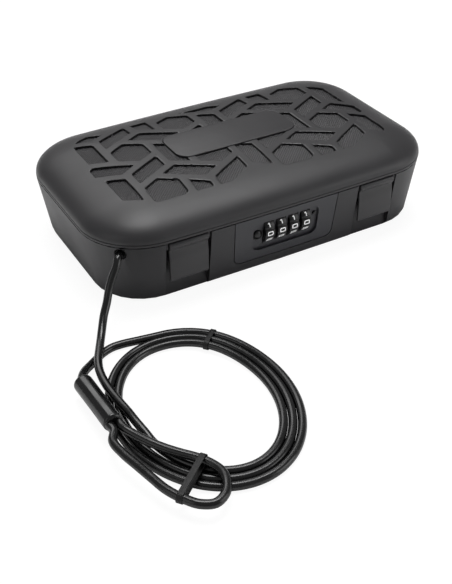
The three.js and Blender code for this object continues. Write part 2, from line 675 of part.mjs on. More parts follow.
const coverBack = coverFront - cover.sheet;
const postCentres = sides.map((side) => (side * cover.postSpacing) / 2);
const coverScrewPlaces = postCentres.flatMap((x) => [[x, cover.lowScrew], [x, cover.highScrew]]);
const coverScrewBar = ([x, height], from, to, radius) => bar(
  [x, -from, height], [x, -to, height], radius, cover.sides,
);
const coverHoles = coverScrewPlaces.map((spot) => coverScrewBar(
  spot, coverFront + body.gap + cover.shank + body.gap, coverBack - body.gap, cover.shankRadius + body.gap,
));
place('lock_cover', cut(
  block([-cover.halfWidth, -coverFront, frameFloor], [cover.halfWidth, -coverBack, cover.top]), ...coverHoles,
), coverPlastic());
coverScrewPlaces.forEach((spot, i) => place(`lock_cover_screw_${i + 1}`, join(
  coverScrewBar(spot, coverFront + body.gap + cover.shank, coverBack - 2 * body.gap, cover.shankRadius),
  coverScrewBar(spot, coverBack - body.gap, coverBack - body.gap - cover.headHeight, cover.headRadius),
), zinc()));

// Where the tether leaves the base's corner

const [leaveX, leaveY] = heading(bush.direction);
const bushHeight = seamLow - bush.drop;
const cornerReach = body.cornerRadius - base.taper * (1 - bushHeight / body.seamHeight);
const cornerCentre = [-(halfLength - body.cornerRadius), -(halfDepth - body.bow - body.cornerRadius)];
const leaving = (distance) => [
  cornerCentre[0] + leaveX * (cornerReach + distance), cornerCentre[1] + leaveY * (cornerReach + distance),
  bushHeight,
];
const bushInner = -body.wall - bush.inside;
const bushBar = (from, to, radius) => bar(leaving(from), leaving(to), radius, bush.sides);
place('cable_bush', cut(
  bushBar(bushInner, -bush.recess, bush.radius), bushBar(bushInner - body.gap, body.overrun, bush.bore),
), rubber());
place('cable_stop', bar(
  leaving(bushInner - body.gap), leaving(bushInner - body.gap - stop.length), stop.radius, stop.sides,
), zinc());

// Base

const bossSides = latchCentres.map((x) => block(
  [x - recessHalf - body.wall, -beyond, 0], [x + recessHalf + body.wall, -recessBack + body.wall, above],
));
const recesses = latchCentres.map((x) => block(
  [x - recessHalf, -beyond, -body.overrun], [x + recessHalf, -recessBack, above],
));
const ridgeBottom = pivotHeight - latch.ridgeDrop;
const ridges = latchCentres.map((x) => block(
  [x - flapHalf + latch.ridgeInset, -recessBack - latch.ridgeReach, ridgeBottom],
  [x + flapHalf - latch.ridgeInset, -recessBack + body.gap, ridgeBottom + latch.ridgeHeight],
));
const posts = postCentres.map((x) => block(
  [x - cover.postWidth / 2, -beyond, 0], [x + cover.postWidth / 2, -coverFront - body.gap, cover.postTop],
));
const lip = cut(
  stack([
    [lid.rebateWall + body.gap, seamLow - base.lipWall],
    [lid.rebateWall + body.gap, seamHigh + base.lipHeight],
  ]),
  tub(body.wall, above),
);
const panelRoom = cut(panelColumn(-body.gap, above), tub(bezel.face + body.gap, above));
const plugRoom = cut(panelColumn(bezel.border, plugTop), tub(bezel.plug + body.gap, above));
const footCentres = sides.flatMap((sx) => sides.map((sy) => [
  sx * (halfLength - foot.fromEnd), sy * (halfDepth - foot.fromSide),
]));
const footBar = ([x, y], grow) => bar(
  [x, y, -grow], [x, y, foot.height + grow], foot.radius + grow, foot.sides,
);
const baseShell = join(
  cut(outerTub, tub(body.wall, above)), ...bossSides.map((boss) => boss.intersect(outerTub)),
  ...posts.map((post) => post.intersect(outerTub)), lip, ...baseKnuckleBars(0),
);
place('base_shell', join(cut(
  baseShell, ...recesses, panelRoom, plugRoom, ...lidKnuckleBars(body.gap), ...hingePinBars(body.gap),
  ...coverHoles, ...footCentres.map((spot) => footBar(spot, body.gap)),
  bushBar(bushInner - body.gap, body.overrun, bush.radius + body.gap),
), ...ridges), basePlastic());
footCentres.forEach((spot, i) => place(`foot_${i + 1}`, footBar(spot, 0), rubber()));
place('base_liner', push(
  roundedOutline(
    -halfLength + liner.baseInset, halfLength - liner.baseInset,
    -coverBack + cover.headHeight + liner.baseGap, halfDepth - liner.baseInset, liner.baseRadius,
  ), 'z', floorTop + body.gap, floorTop + body.gap + liner.thickness, liner.cornerSteps,
), foam());

// Tether

// A line through points, one even step of its parameter per point
class Route extends THREE.Curve {
  constructor(points) {
    super();
    this.points = points.map((point) => new THREE.Vector3(...point));
  }

  getPoint(t, target = new THREE.Vector3()) {
    const last = this.points.length - 1;
    const along = Math.min(Math.max(t, 0), 1) * last;
    const before = Math.min(Math.floor(along), last - 1);
    return target.lerpVectors(this.points[before], this.points[before + 1], along - before);
  }

  getUtoTmapping(u) {
    return u;
  }
}

function tube(points, count) {
  const round = outlineOf(Array.from({ length: count }, (_, i) => {
    const angle = (FULL * i) / count;
    return [cableRadius * Math.cos(angle), cableRadius * Math.sin(angle)];
  }));
  const options = { steps: points.length - 1, bevelEnabled: false, extrudePath: new Route(points) };
  return solid(new THREE.ExtrudeGeometry(round, options));
}

// Rises evenly from 0 to 1 between two values
const ramp = (value, [from, to]) => THREE.MathUtils.smoothstep(value, from, to);
const moved = (point, direction, distance) => point.map((value, k) => value + direction[k] * distance);

// One point of the flat coil: an oval that widens by a pitch per loop and is lifted where the tie goes
// under it. Its start is set inwards, clear of the next loop.
function coilPoint(step) {
  const turns = step / coil.stepsPerLoop;
  const degrees = coil.startDegrees + 360 * turns;
  const [c, s] = heading(degrees);
  const normal = new THREE.Vector2(coil.halfDepth * c, coil.halfLength * s).normalize();
  const inset = coil.startInset * (1 - ramp(turns, coil.settleShares));
  const out = coil.pitch * (turns - coil.outerShare) - inset;
  const away = Math.abs(((((degrees - tie.degrees) % 360) + 540) % 360) - 180);
  const lift = (tie.thickness + tie.clearance + body.gap / 2) * (1 - ramp(away, [0, coil.liftHalfAngle]));
  return [
    coil.centre[0] + coil.halfLength * c + normal.x * out,
    coil.centre[1] + coil.halfDepth * s + normal.y * out,
    cableRadius + lift,
  ];
}

const coilPoints = Array.from(
  { length: coil.lastStep - coil.firstStep + 1 }, (_, i) => coilPoint(coil.firstStep + i),
);
const vector = (point) => new THREE.Vector3(...point);
const directionOf = (from, to) => vector(to).sub(vector(from)).normalize().toArray();
const coilStart = directionOf(coilPoints[1], coilPoints[0]);
const lastOf = (points) => points[points.length - 1];
const coilEnd = directionOf(coilPoints[coilPoints.length - 2], lastOf(coilPoints));

// Points that leave a face square to it, one diameter long
const squareTo = (point, direction) => [
  moved(point, direction, body.gap), moved(point, direction, body.gap + cable.diameter),
];

const sleeveAxis = directionOf(...sleeveEnds);
const sleeveBack = sleeveAxis.map((value) => -value);
const drop = [
  leaving(bushInner), leaving(0), leaving(cable.diameter), ...dropRoute,
  ...squareTo(coilPoints[0], coilStart).reverse(),
];
const tail = [
  ...squareTo(lastOf(coilPoints), coilEnd), ...tailRoute, ...squareTo(sleeveEnds[0], sleeveBack).reverse(),
];
const across = new THREE.Vector3(...sleeveAxis).cross(new THREE.Vector3(0, 0, 1)).normalize().toArray();
const strand = (side) => moved(sleeveEnds[1], across, side * (cableRadius + body.gap / 2));
const eye = [...squareTo(strand(1), sleeveAxis), ...eyeRoute, ...squareTo(strand(-1), sleeveAxis).reverse()];
place('cable_drop', tube(drop, cable.sides), vinyl());
place('cable_coil', tube(coilPoints, coil.sides), vinyl());
place('cable_tail', tube(tail, cable.sides), vinyl());
place('cable_eye', tube(eye, cable.sides), vinyl());
const shoulderFrom = moved(sleeveEnds[0], sleeveAxis, sleeve.shoulder);
const shoulderTo = moved(sleeveEnds[1], sleeveAxis, -sleeve.shoulder);
place('cable_sleeve', join(
  bar(sleeveEnds[0], sleeveEnds[1], sleeve.radius - sleeve.shoulder / 2, sleeve.sides),
  bar(shoulderFrom, shoulderTo, sleeve.radius, sleeve.sides),
), vinyl());

// A closed flat band round a row of strands, square to them
function band(from, to, thickness, width, clearance) {
  const along = new THREE.Vector3(to[0] - from[0], to[1] - from[1], 0);
  const length = along.length();
  const inner = cableRadius + clearance;
  const outer = inner + thickness;
  const height = (from[2] + to[2]) / 2;
  const frameOf = (reach) => push(
    roundedOutline(-reach, length + reach, -reach, reach, reach), 'y', -width / 2, width / 2, cable.sides / 2,
  );
  const shape = cut(frameOf(outer), frameOf(inner));
  const turned = geometryOf(shape).rotateZ(Math.atan2(along.y, along.x)).translate(from[0], from[1], height);
  return solid(turned);
}

const tieTurns = [coil.loops, 1].map((loops) => (
  (360 * loops + tie.degrees - coil.startDegrees) / 360
));
const tieEnds = tieTurns.map((turns) => coilPoint(turns * coil.stepsPerLoop));
place('coil_tie', band(...tieEnds, tie.thickness, tie.width, tie.clearance), vinyl());
place('eye_strap', band(...strapEnds, strap.thickness, strap.width, strap.clearance), vinyl());

// Least room between the coil's strands and the tether's length

function leastGap(points) {
  let least = Infinity;
  const skip = coil.stepsPerLoop / 2;
  for (let i = 0; i + 1 < points.length; i++) {
    const line = new THREE.Line3(vector(points[i]), vector(points[i + 1]));
    for (let j = 0; j < points.length; j++) {
      if (Math.abs(j - i) < skip) continue;
      const point = vector(points[j]);
      const nearest = line.closestPointToPoint(point, true, new THREE.Vector3());
      least = Math.min(least, nearest.distanceTo(point) - cable.diameter);
    }
  }
  return least;
}

const lengthOf = (points) => points.slice(1).reduce((sum, point, i) => (
  sum + vector(point).distanceTo(vector(points[i]))
), 0);
const stretches = [drop, coilPoints, tail, sleeveEnds, eye];
const tetherLength = stretches.reduce((sum, points) => sum + lengthOf(points), 0);
console.log(`least gap in the coil ${leastGap(coilPoints).toFixed(2)} mm`);
console.log(`tether ${tetherLength.toFixed(0)} mm`);

export default group;
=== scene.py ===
"""Looks of a portable car safe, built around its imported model.

The file has an add-on's layout and is run as a script. The scene is in metres, +Z up, and the safe's
front faces -Y. The shape functions work in millimetres in the case's own frame, whose middle lies
CASE_FORWARD in front of the model's origin, and place() turns their points into the scene's.
"""

import functools
import json
import math

import bmesh
import bpy
import numpy as np
from mathutils import Matrix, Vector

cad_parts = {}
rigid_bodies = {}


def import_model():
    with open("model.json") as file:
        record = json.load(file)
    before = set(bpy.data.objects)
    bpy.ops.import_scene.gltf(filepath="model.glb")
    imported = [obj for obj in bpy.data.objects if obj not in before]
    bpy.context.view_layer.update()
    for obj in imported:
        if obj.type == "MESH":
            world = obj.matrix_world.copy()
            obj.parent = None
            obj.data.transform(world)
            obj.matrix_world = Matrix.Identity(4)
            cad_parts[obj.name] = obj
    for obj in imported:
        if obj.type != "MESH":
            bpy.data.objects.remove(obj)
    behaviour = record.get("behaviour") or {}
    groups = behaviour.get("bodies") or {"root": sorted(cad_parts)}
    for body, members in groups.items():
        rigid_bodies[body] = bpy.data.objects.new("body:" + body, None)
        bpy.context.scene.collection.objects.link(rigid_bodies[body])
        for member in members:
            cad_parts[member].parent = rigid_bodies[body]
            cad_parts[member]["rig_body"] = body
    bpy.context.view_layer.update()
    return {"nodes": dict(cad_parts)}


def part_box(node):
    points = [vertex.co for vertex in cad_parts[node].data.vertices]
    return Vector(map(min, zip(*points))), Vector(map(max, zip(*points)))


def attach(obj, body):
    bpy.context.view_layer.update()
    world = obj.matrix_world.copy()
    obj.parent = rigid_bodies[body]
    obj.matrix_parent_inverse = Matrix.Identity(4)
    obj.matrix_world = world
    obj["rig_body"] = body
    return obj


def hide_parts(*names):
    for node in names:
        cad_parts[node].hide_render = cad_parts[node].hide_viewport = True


bl_info = {
    "name": "Portable car safe",
    "version": (1, 0, 0),
    "blender": (4, 5, 0),
    "location": "3D Viewport > Sidebar > Car safe",
    "description": "Builds the looks of a moulded car safe with a coiled tether around its packed frame",
    "category": "Object",
}

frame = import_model()
MM = 0.001
CASE_FORWARD = 1.4


# Sizes and colours that a user would change


def srgb(code):
    """A colour written as sRGB hex, as the linear values that shaders take."""
    parts = np.array([int(code[i : i + 2], 16) / 255 for i in (1, 3, 5)])
    linear = np.where(parts <= 0.04045, parts / 12.92, ((parts + 0.055) / 1.055) ** 2.4)
    return (*linear.tolist(), 1.0)


def length_property(name, description, millimetres):
    """A length in metres whose default is given in millimetres."""
    return bpy.props.FloatProperty(
        name=name, description=description, default=millimetres * MM, unit="LENGTH", precision=5
    )


def colour_property(name, description, code):
    """A colour whose default is given as sRGB hex."""
    return bpy.props.FloatVectorProperty(
        name=name, description=description, default=srgb(code), subtype="COLOR", size=4, min=0, max=1
    )


class SafeSizes(bpy.types.PropertyGroup):
    """Sizes of the case, the tread, the dials and the tether."""

    half_length: length_property("Half length", "Middle of the case to its end", 121.5)
    half_depth: length_property("Half depth", "Middle of the case to its front", 74)
    corner: length_property("Corner radius", "Radius of the case's corners in plan", 40)
    bow: length_property("Bow", "How far the long sides bow out at their middle", 0.9)
    rim_top: length_property("Rim top", "Height of the lid's rim", 45.35)
    ledge: length_property("Ledge", "Width of the flat round the crown's foot", 0.15)
    crown: length_property("Crown", "Height of the lid's crown", 62.6)
    crown_run: length_property("Crown run", "Width over which the lid rises from rim to crown", 54.6)
    wall: length_property("Wall", "Thickness of the lid's wall", 2.6)
    roof: length_property("Roof", "Thickness of the lid under the pockets", 1.9)
    tread_pitch: length_property("Tread pitch", "Distance between two columns of hexagons", 44.65)
    tread_cell: length_property("Tread cell", "Half the width of a hexagon across its flats", 11.5)
    tread_depth: length_property("Tread depth", "Depth of the tread's pockets", 1.5)
    tread_edge: length_property("Tread edge", "Width of the broken edge round each pocket", 0.32)
    lid_step: length_property("Lid grid", "Spacing of the grid that shapes the lid", 0.76)
    digit_height: length_property("Digit height", "Height of a number on a dial", 2.45)
    digit_width: length_property("Digit width", "Width of a number on a dial", 3.35)
    digit_stroke: length_property("Digit stroke", "Width of a number's stroke", 0.62)
    cable: length_property("Cable", "Diameter of the coated cable", 4.8)
    grain: length_property("Mould grain", "Size of the eroded grain on moulded plastic", 0.7)
    knurl: length_property("Knurl pitch", "Pitch of the fine squares on the pocket floors", 1.35)


class SafeColours(bpy.types.PropertyGroup):
    """Colours of the safe's materials."""

    lid: colour_property("Lid", "Moulded plastic of lid, latches and badge plate", "#2c2b2d")
    base: colour_property("Base", "Moulded plastic of the base", "#222124")
    panel: colour_property("Lock panel", "Moulded plastic round the dials", "#2a2a2f")
    cover: colour_property("Inner cover", "Moulded plastic behind the lock", "#232325")
    dial: colour_property("Dials", "Polished plastic of dials and button", "#09090a")
    digits: colour_property("Digits", "Printed numbers", "#ffffff")
    cable: colour_property("Cable", "Vinyl sheath of the tether", "#0b0b0c")
    rubber: colour_property("Rubber", "Feet and grommet", "#1c1c1d")
    foam: colour_property("Foam", "Liners", "#2a2a2c")
    steel: colour_property("Steel", "Pressed sheet and pins", "#9a9a9c")
    zinc: colour_property("Zinc", "Plated bolt and screws", "#b4b4b8")
    floor: colour_property("Floor", "Studio floor", "#ffffff")


def size(name):
    """One of the sizes, in millimetres."""
    return getattr(bpy.context.scene.car_safe_sizes, name) / MM


def colour(name):
    """One of the colours, linear."""
    return tuple(getattr(bpy.context.scene.car_safe_colours, name))


# Meshes from arrays


def place(points):
    """Millimetres of the case's frame into metres of the scene."""
    return (np.asarray(points, float) - (0, CASE_FORWARD, 0)) * MM


def case_box(node):
    """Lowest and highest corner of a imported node, in millimetres of the case's frame."""
    low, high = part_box(node)
    return np.array(low) / MM + (0, CASE_FORWARD, 0), np.array(high) / MM + (0, CASE_FORWARD, 0)


def unit(vectors):
    """Vectors scaled to a length of one."""
    return vectors / np.linalg.norm(vectors, axis=-1, keepdims=True)


def walked(line):
    """Distance along a line up to each of its points."""
    return np.concatenate([[0], np.cumsum(np.linalg.norm(np.diff(line, axis=0), axis=1))])


def grid_faces(rows, columns, around=True, closed=False):
    """Quads of a grid of points: columns run round when around is set, rows too when closed is."""
    r = np.arange(rows if closed else rows - 1)[:, None]
    c = np.arange(columns if around else columns - 1)[None, :]
    up, on = (r + 1) % rows, (c + 1) % columns
    corners = (r * columns + c, r * columns + on, up * columns + on, up * columns + c)
    return np.stack(corners, -1).reshape(-1, 4)


def stacked(rings, closed=False):
    """A skin over rings of as many points each, both ends capped unless the rings close on themselves."""
    rows, columns = rings.shape[:2]
    faces = [grid_faces(rows, columns, closed=closed)]
    if not closed:
        ring = np.arange(columns)
        faces += [ring[None, ::-1], ring[None] + (rows - 1) * columns]
    return rings.reshape(-1, 3), faces


def joined(*parts):
    """Several skins as one."""
    points, faces, start = [], [], 0
    for part_points, part_faces in parts:
        points.append(part_points)
        faces += [face + start for face in part_faces]
        start += len(part_points)
    return np.concatenate(points), faces


def outward(points, faces):
    """The same faces, turned over if the volume that they enclose comes out negative."""
    volume = 0.0
    for face in faces:
        corner = points[face]
        fans = np.cross(corner[:, 1:-1], corner[:, 2:])
        volume += np.sum(corner[:, :1] * fans)
    return faces if volume > 0 else [face[:, ::-1] for face in faces]


def add_piece(name, shape, look, body, replaced=(), sharp=40):
    """A closed skin in one of the materials: it rides on a body and stands for the nodes named."""
    points, faces = shape
    faces = outward(points - points.mean(0), faces)
    mesh = bpy.data.meshes.new(name)
    mesh.vertices.add(len(points))
    mesh.vertices.foreach_set("co", place(points).ravel())
    corners = np.concatenate([face.ravel() for face in faces])
    totals = np.concatenate([np.full(len(face), face.shape[1]) for face in faces])
    mesh.loops.add(len(corners))
    mesh.loops.foreach_set("vertex_index", corners)
    mesh.polygons.add(len(totals))
    mesh.polygons.foreach_set("loop_start", np.cumsum(totals) - totals)
    mesh.polygons.foreach_set("use_smooth", np.ones(len(totals), bool))
    mesh.update(calc_edges=True)
    mesh.validate()
    mesh.set_sharp_from_angle(angle=math.radians(sharp))
    return settle(bpy.data.objects.new(name, mesh), look, body, replaced)


def settle(piece, look, body, replaced):
    """Links a piece at the origin, gives it one of the materials and ties it to its body."""
    bpy.context.scene.collection.objects.link(piece)
    slot, material = materials()[look]
    piece.data.materials.clear()
    piece.data.materials.append(material)
    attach(piece, body)
    if replaced:
        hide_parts(*replaced)
    return piece


def refined(node, name, look, bevel, move=None):
    """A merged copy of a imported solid, its points moved by a function, its sharp edges broken by a bevel."""
    sharp = math.radians(34)
    source = frame["nodes"][node].data
    points = np.zeros(len(source.vertices) * 3)
    source.vertices.foreach_get("co", points)
    corners = np.zeros(len(source.loops), int)
    source.loops.foreach_get("vertex_index", corners)
    work = bmesh.new()
    mesh = bpy.data.meshes.new(name)
    mesh.from_pydata(points.reshape(-1, 3), [], corners.reshape(-1, 3))
    if move:
        points = move(points.reshape(-1, 3) / MM + (0, CASE_FORWARD, 0))
        mesh.vertices.foreach_set("co", place(points).ravel())
    work.from_mesh(mesh)
    bmesh.ops.remove_doubles(work, verts=work.verts, dist=2e-6)
    bmesh.ops.dissolve_degenerate(work, edges=work.edges, dist=1e-6)
    bmesh.ops.dissolve_limit(
        work, verts=work.verts, edges=work.edges, angle_limit=math.radians(0.6), delimit=set()
    )
    bmesh.ops.recalc_face_normals(work, faces=work.faces)
    work.to_mesh(mesh)
    work.free()
    mesh.polygons.foreach_set("use_smooth", np.ones(len(mesh.polygons), bool))
    mesh.set_sharp_from_angle(angle=sharp)
    piece = bpy.data.objects.new(name, mesh)
    settle(piece, look, frame["nodes"][node]["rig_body"], (node,))
    broken = piece.modifiers.new("broken edges", "BEVEL")
    broken.width = bevel * MM
    broken.segments = 2
    broken.limit_method = "ANGLE"
    broken.angle_limit = sharp
    broken.use_clamp_overlap = True
    broken.harden_normals = False
    even = piece.modifiers.new("even normals", "WEIGHTED_NORMAL")
    even.keep_sharp = True


# Shapes


def rounded_loop(left, right, bottom, top, radius, steps=8):
    """A rounded rectangle, counterclockwise: each corner is a quarter circle of even steps."""
    angle = np.linspace(0, math.pi / 2, steps + 1)
    starts = np.arange(4) * math.pi / 2
    centres = np.array(
        [(right - radius, top - radius), (left + radius, top - radius),
         (left + radius, bottom + radius), (right - radius, bottom + radius)]
    )
    turn = starts[:, None] + angle
    arcs = centres[:, None] + radius * np.stack([np.cos(turn), np.sin(turn)], -1)
    return arcs.reshape(-1, 2)


def edge_profile(low, high, radius, steps=4):
    """Inset and height of a side whose two edges are quarter circles of a radius."""
    angle = np.linspace(0, math.pi / 2, steps + 1)
    inset = radius * (1 - np.sin(angle))
    rise = radius * (1 - np.cos(angle))
    return np.concatenate(
        [np.stack([inset, low + rise], -1), np.stack([inset[::-1], high - rise[::-1]], -1)]
    )


def block(low, high, corner, edge, axis=2, steps=6):
    """A block with round corners about one axis and round edges at both of its ends along that axis."""
    others = [(axis + 1) % 3, (axis + 2) % 3]
    rings = []
    for inset, height in edge_profile(low[axis], high[axis], edge):
        a, b = others
        loop = rounded_loop(
            low[a] + inset, high[a] - inset, low[b] + inset, high[b] - inset,
            max(corner - inset, 0.05), steps,
        )
        ring = np.empty((len(loop), 3))
        ring[:, a], ring[:, b], ring[:, axis] = loop[:, 0], loop[:, 1], height
        rings.append(ring)
    return stacked(np.array(rings))


def turned(profile, origin, axis, count=48, closed=False):
    """A profile of radius and distance along an axis, turned once round that axis."""
    axis = unit(np.asarray(axis, float))
    side = unit(np.cross(axis, (0.3, 0.2, 1.0)))
    over = np.cross(axis, side)
    angle = np.linspace(0, 2 * math.pi, count, endpoint=False)
    round_ = np.cos(angle)[:, None] * side + np.sin(angle)[:, None] * over
    profile = np.asarray(profile, float)
    rings = profile[:, :1, None] * round_[None] + profile[:, 1:, None] * axis + np.asarray(origin, float)
    return stacked(rings, closed)


def through(points, spacing, closed=False):
    """A smooth line through points: cubic pieces whose slope at a point is that of its two neighbours."""
    points = np.asarray(points, float)
    if closed:
        points = np.concatenate([points[-2:], points, points[:3]])
    along = walked(points)
    slope = np.gradient(points, along, axis=0)
    start, end = (along[2], along[-3]) if closed else (along[0], along[-1])
    count = max(int(round((end - start) / spacing)), 2)
    at = np.linspace(start, end, count + 1)
    if closed:
        at = at[:-1]
    i = np.clip(np.searchsorted(along, at, side="right") - 1, 0, len(along) - 2)
    step = (along[i + 1] - along[i])[:, None]
    t = (at - along[i])[:, None] / step
    first = (2 * t**3 - 3 * t**2 + 1) * points[i] + (t**3 - 2 * t**2 + t) * slope[i] * step
    return first + (3 * t**2 - 2 * t**3) * points[i + 1] + (t**3 - t**2) * slope[i + 1] * step


def swept(path, section):
    """A flat section carried along a path: its first axis stays level and its second is square to both."""
    ahead = np.roll(path, -1, 0) - np.roll(path, 1, 0)
    ahead[0], ahead[-1] = path[1] - path[0], path[-1] - path[-2]
    ahead = unit(ahead)
    level = unit(np.cross(ahead, (0, 0, 1)))
    upright = np.cross(level, ahead)
    return path[:, None] + section[None, :, :1] * level[:, None] + section[None, :, 1:] * upright[:, None]


def heading(degrees):
    """Unit vector in plan at an angle from +X."""
    angle = np.radians(degrees)
    return np.stack([np.cos(angle), np.sin(angle)], -1)


# Plan and crown of the case

# Radius that the corners keep however far they are inset, how much the creases of the crown are eased,
# and how far in from the corners that takes full hold
LEAST_RADIUS = 4
CREASE_SOFTNESS, CREASE_START = 14, 25


def plan(s, t, inset):
    """Square to case: a square ring becomes the rounded rectangle of its inset.

    In a corner, the distance walked along the ring over twice the radius gives the share of a right angle
    turned, and the long sides bow out by the square of the distance from the nearest corner's start.
    """
    m = np.maximum(np.abs(s), np.abs(t))
    half_x, half_y = size("half_length") - inset, size("half_depth") - inset
    radius = np.maximum(size("corner") - inset, LEAST_RADIUS) * m**3
    a, b = m * half_x, m * half_y
    x, y = np.abs(s) * half_x, np.abs(t) * half_y
    passed = np.where(np.abs(s) >= np.abs(t), y - (b - radius), radius + a - x)
    angle = passed / np.maximum(2 * radius, 1e-9) * math.pi / 2
    corner = (x > a - radius) & (y > b - radius)
    x = np.where(corner, a - radius + radius * np.cos(angle), x) * np.sign(s)
    y = np.where(corner, b - radius + radius * np.sin(angle), y) * np.sign(t)
    return x, y


def bowed(x, y, back=False):
    """The long sides' bow added to a plan point, or taken off it again."""
    straight, flat = size("half_length") - size("corner"), size("half_depth") - size("corner")
    bow = size("bow") * np.clip(np.abs(x) / straight, 0, 1) ** 2
    if back:
        inner = np.abs(y) / (1 - bow / flat)
        return np.sign(y) * np.where(inner < flat, inner, np.abs(y) + bow)
    return y - np.sign(y) * bow * np.clip(np.abs(y) / flat, 0, 1)


def crown_height(x, y):
    """Height of the lid's skin: a quarter ellipse over the distance inwards from the rim."""
    corner = size("corner")
    qx = np.abs(x) - (size("half_length") - corner)
    qy = np.abs(bowed(x, y, back=True)) - (size("half_depth") - corner)
    largest = np.maximum(qx, qy)
    soft = CREASE_SOFTNESS * np.clip(-largest / CREASE_START, 0, 1)
    middle = (qx + qy + np.sqrt((qx - qy) ** 2 + soft**2)) / 2
    inset = corner - np.hypot(np.maximum(qx, 0), np.maximum(qy, 0)) - np.minimum(middle, 0)
    share = np.clip((inset - size("ledge")) / size("crown_run"), 0, 1)
    rise = size("crown") - size("rim_top")
    return size("rim_top") + rise * np.sqrt(np.maximum(1 - (1 - share) ** 2, 0))


# Tread

# Half length, half depth and corner radius of the badge's seat and of the tread, whose middle lies in
# front of the case's
BADGE_SEAT = (43.9, 16.8, 9.3)
TREAD_AREA = (97.7, 49.7, 20)
TREAD_FORWARD = 1.5
# How far back the lattice's middle lies, and the smallest pocket that is kept, in square millimetres
LATTICE_BACK = -4.3
SMALLEST_POCKET = 60
# How far a pocket reaches from its middle, and how far from there its distance is worked out
CELL_REACH, NEAR = 15, 22


def box_distance(x, y, half_x, half_y, radius):
    """Distance outwards from a rounded rectangle about the middle."""
    qx, qy = np.abs(x) - half_x + radius, np.abs(y) - half_y + radius
    outside = np.hypot(np.maximum(qx, 0), np.maximum(qy, 0))
    return outside + np.minimum(np.maximum(qx, qy), 0) - radius


def badge_distance(x, y):
    """Distance outwards from the badge plate's seat."""
    return box_distance(x, y, *BADGE_SEAT)


def area_distance(x, y):
    """Distance outwards from the rounded rectangle that the tread fills."""
    return box_distance(x, y + TREAD_FORWARD, *TREAD_AREA)


def slab_distance(x, y, angles, halves):
    """Distance outwards from a shape that three slabs share: a soft largest of their three distances."""
    normals = heading(np.array(angles))
    reach = [np.abs(x * n[0] + y * n[1]) - half for n, half in zip(normals, halves)]
    soft, far = 0.3, 30
    return soft * np.log(sum(np.exp(np.minimum(r, far) / soft) for r in reach))


def tread_cells():
    """Hexagons on a triangular lattice, with a slanted bar between neighbours, less those cut too small."""
    pitch, flat = size("tread_pitch"), size("tread_cell")
    row_pitch = pitch / math.sqrt(3)
    cells = []
    for column in range(-2, 4):
        for row in range(-3, 4):
            x = (column - 0.5) * pitch
            y = LATTICE_BACK + row_pitch * (2 * row + (-1 if column % 2 == 0 else 1) / 2)
            cells.append((x, y, (0, 60, 120), (flat, flat, flat)))
            for dx, dy, long in ((0, 1, 30), (0.5, 0.5, -30), (0.5, -0.5, -90)):
                turns = (long + 90, long + 150, long + 90)
                cells.append((x + dx * pitch, y + dy * row_pitch, turns, (flat / 2, flat, flat / 2)))
    samples = np.linspace(-CELL_REACH, CELL_REACH, 61)
    u, v = np.meshgrid(samples, samples)
    kept = []
    for x, y, angles, halves in cells:
        inside = slab_distance(u, v, angles, halves) < 0
        inside &= area_distance(u + x, v + y) < 0
        if inside.sum() * (samples[1] - samples[0]) ** 2 > SMALLEST_POCKET:
            kept.append((x, y, angles, halves))
    return kept


def tread_distance(x, y, cells):
    """Distance outwards from the nearest pocket or the badge's seat."""
    area = area_distance(x, y)
    nearest = np.minimum(badge_distance(x, y), NEAR - 2)
    for cx, cy, angles, halves in cells:
        near = (np.abs(x - cx) < NEAR) & (np.abs(y - cy) < NEAR)
        here = np.maximum(slab_distance(x[near] - cx, y[near] - cy, angles, halves), area[near])
        nearest[near] = np.minimum(nearest[near], here)
    return nearest


def snapped(distance, step, edge, wall):
    """Levels for a crisp step on an even grid.

    Points within half a step of the outline go onto it, the next row inside onto the wall's foot, the next
    row outside onto the broken edge's start, and one more row each way takes up the difference.
    """
    levels = distance.copy()
    d = distance / step
    levels[np.abs(d) <= 0.5] = 0
    levels[(d < -0.5) & (d >= -1.5)] = -wall
    levels[(d > 0.5) & (d <= 1.5)] = edge
    inner = (d < -1.5) & (d >= -2.5)
    levels[inner] = -wall + (distance[inner] + 1.5 * step) * (2.5 * step - wall) / step
    outer = (d > 1.5) & (d <= 2.5)
    levels[outer] = edge + (distance[outer] - 1.5 * step) * (2.5 * step - edge) / step
    return levels


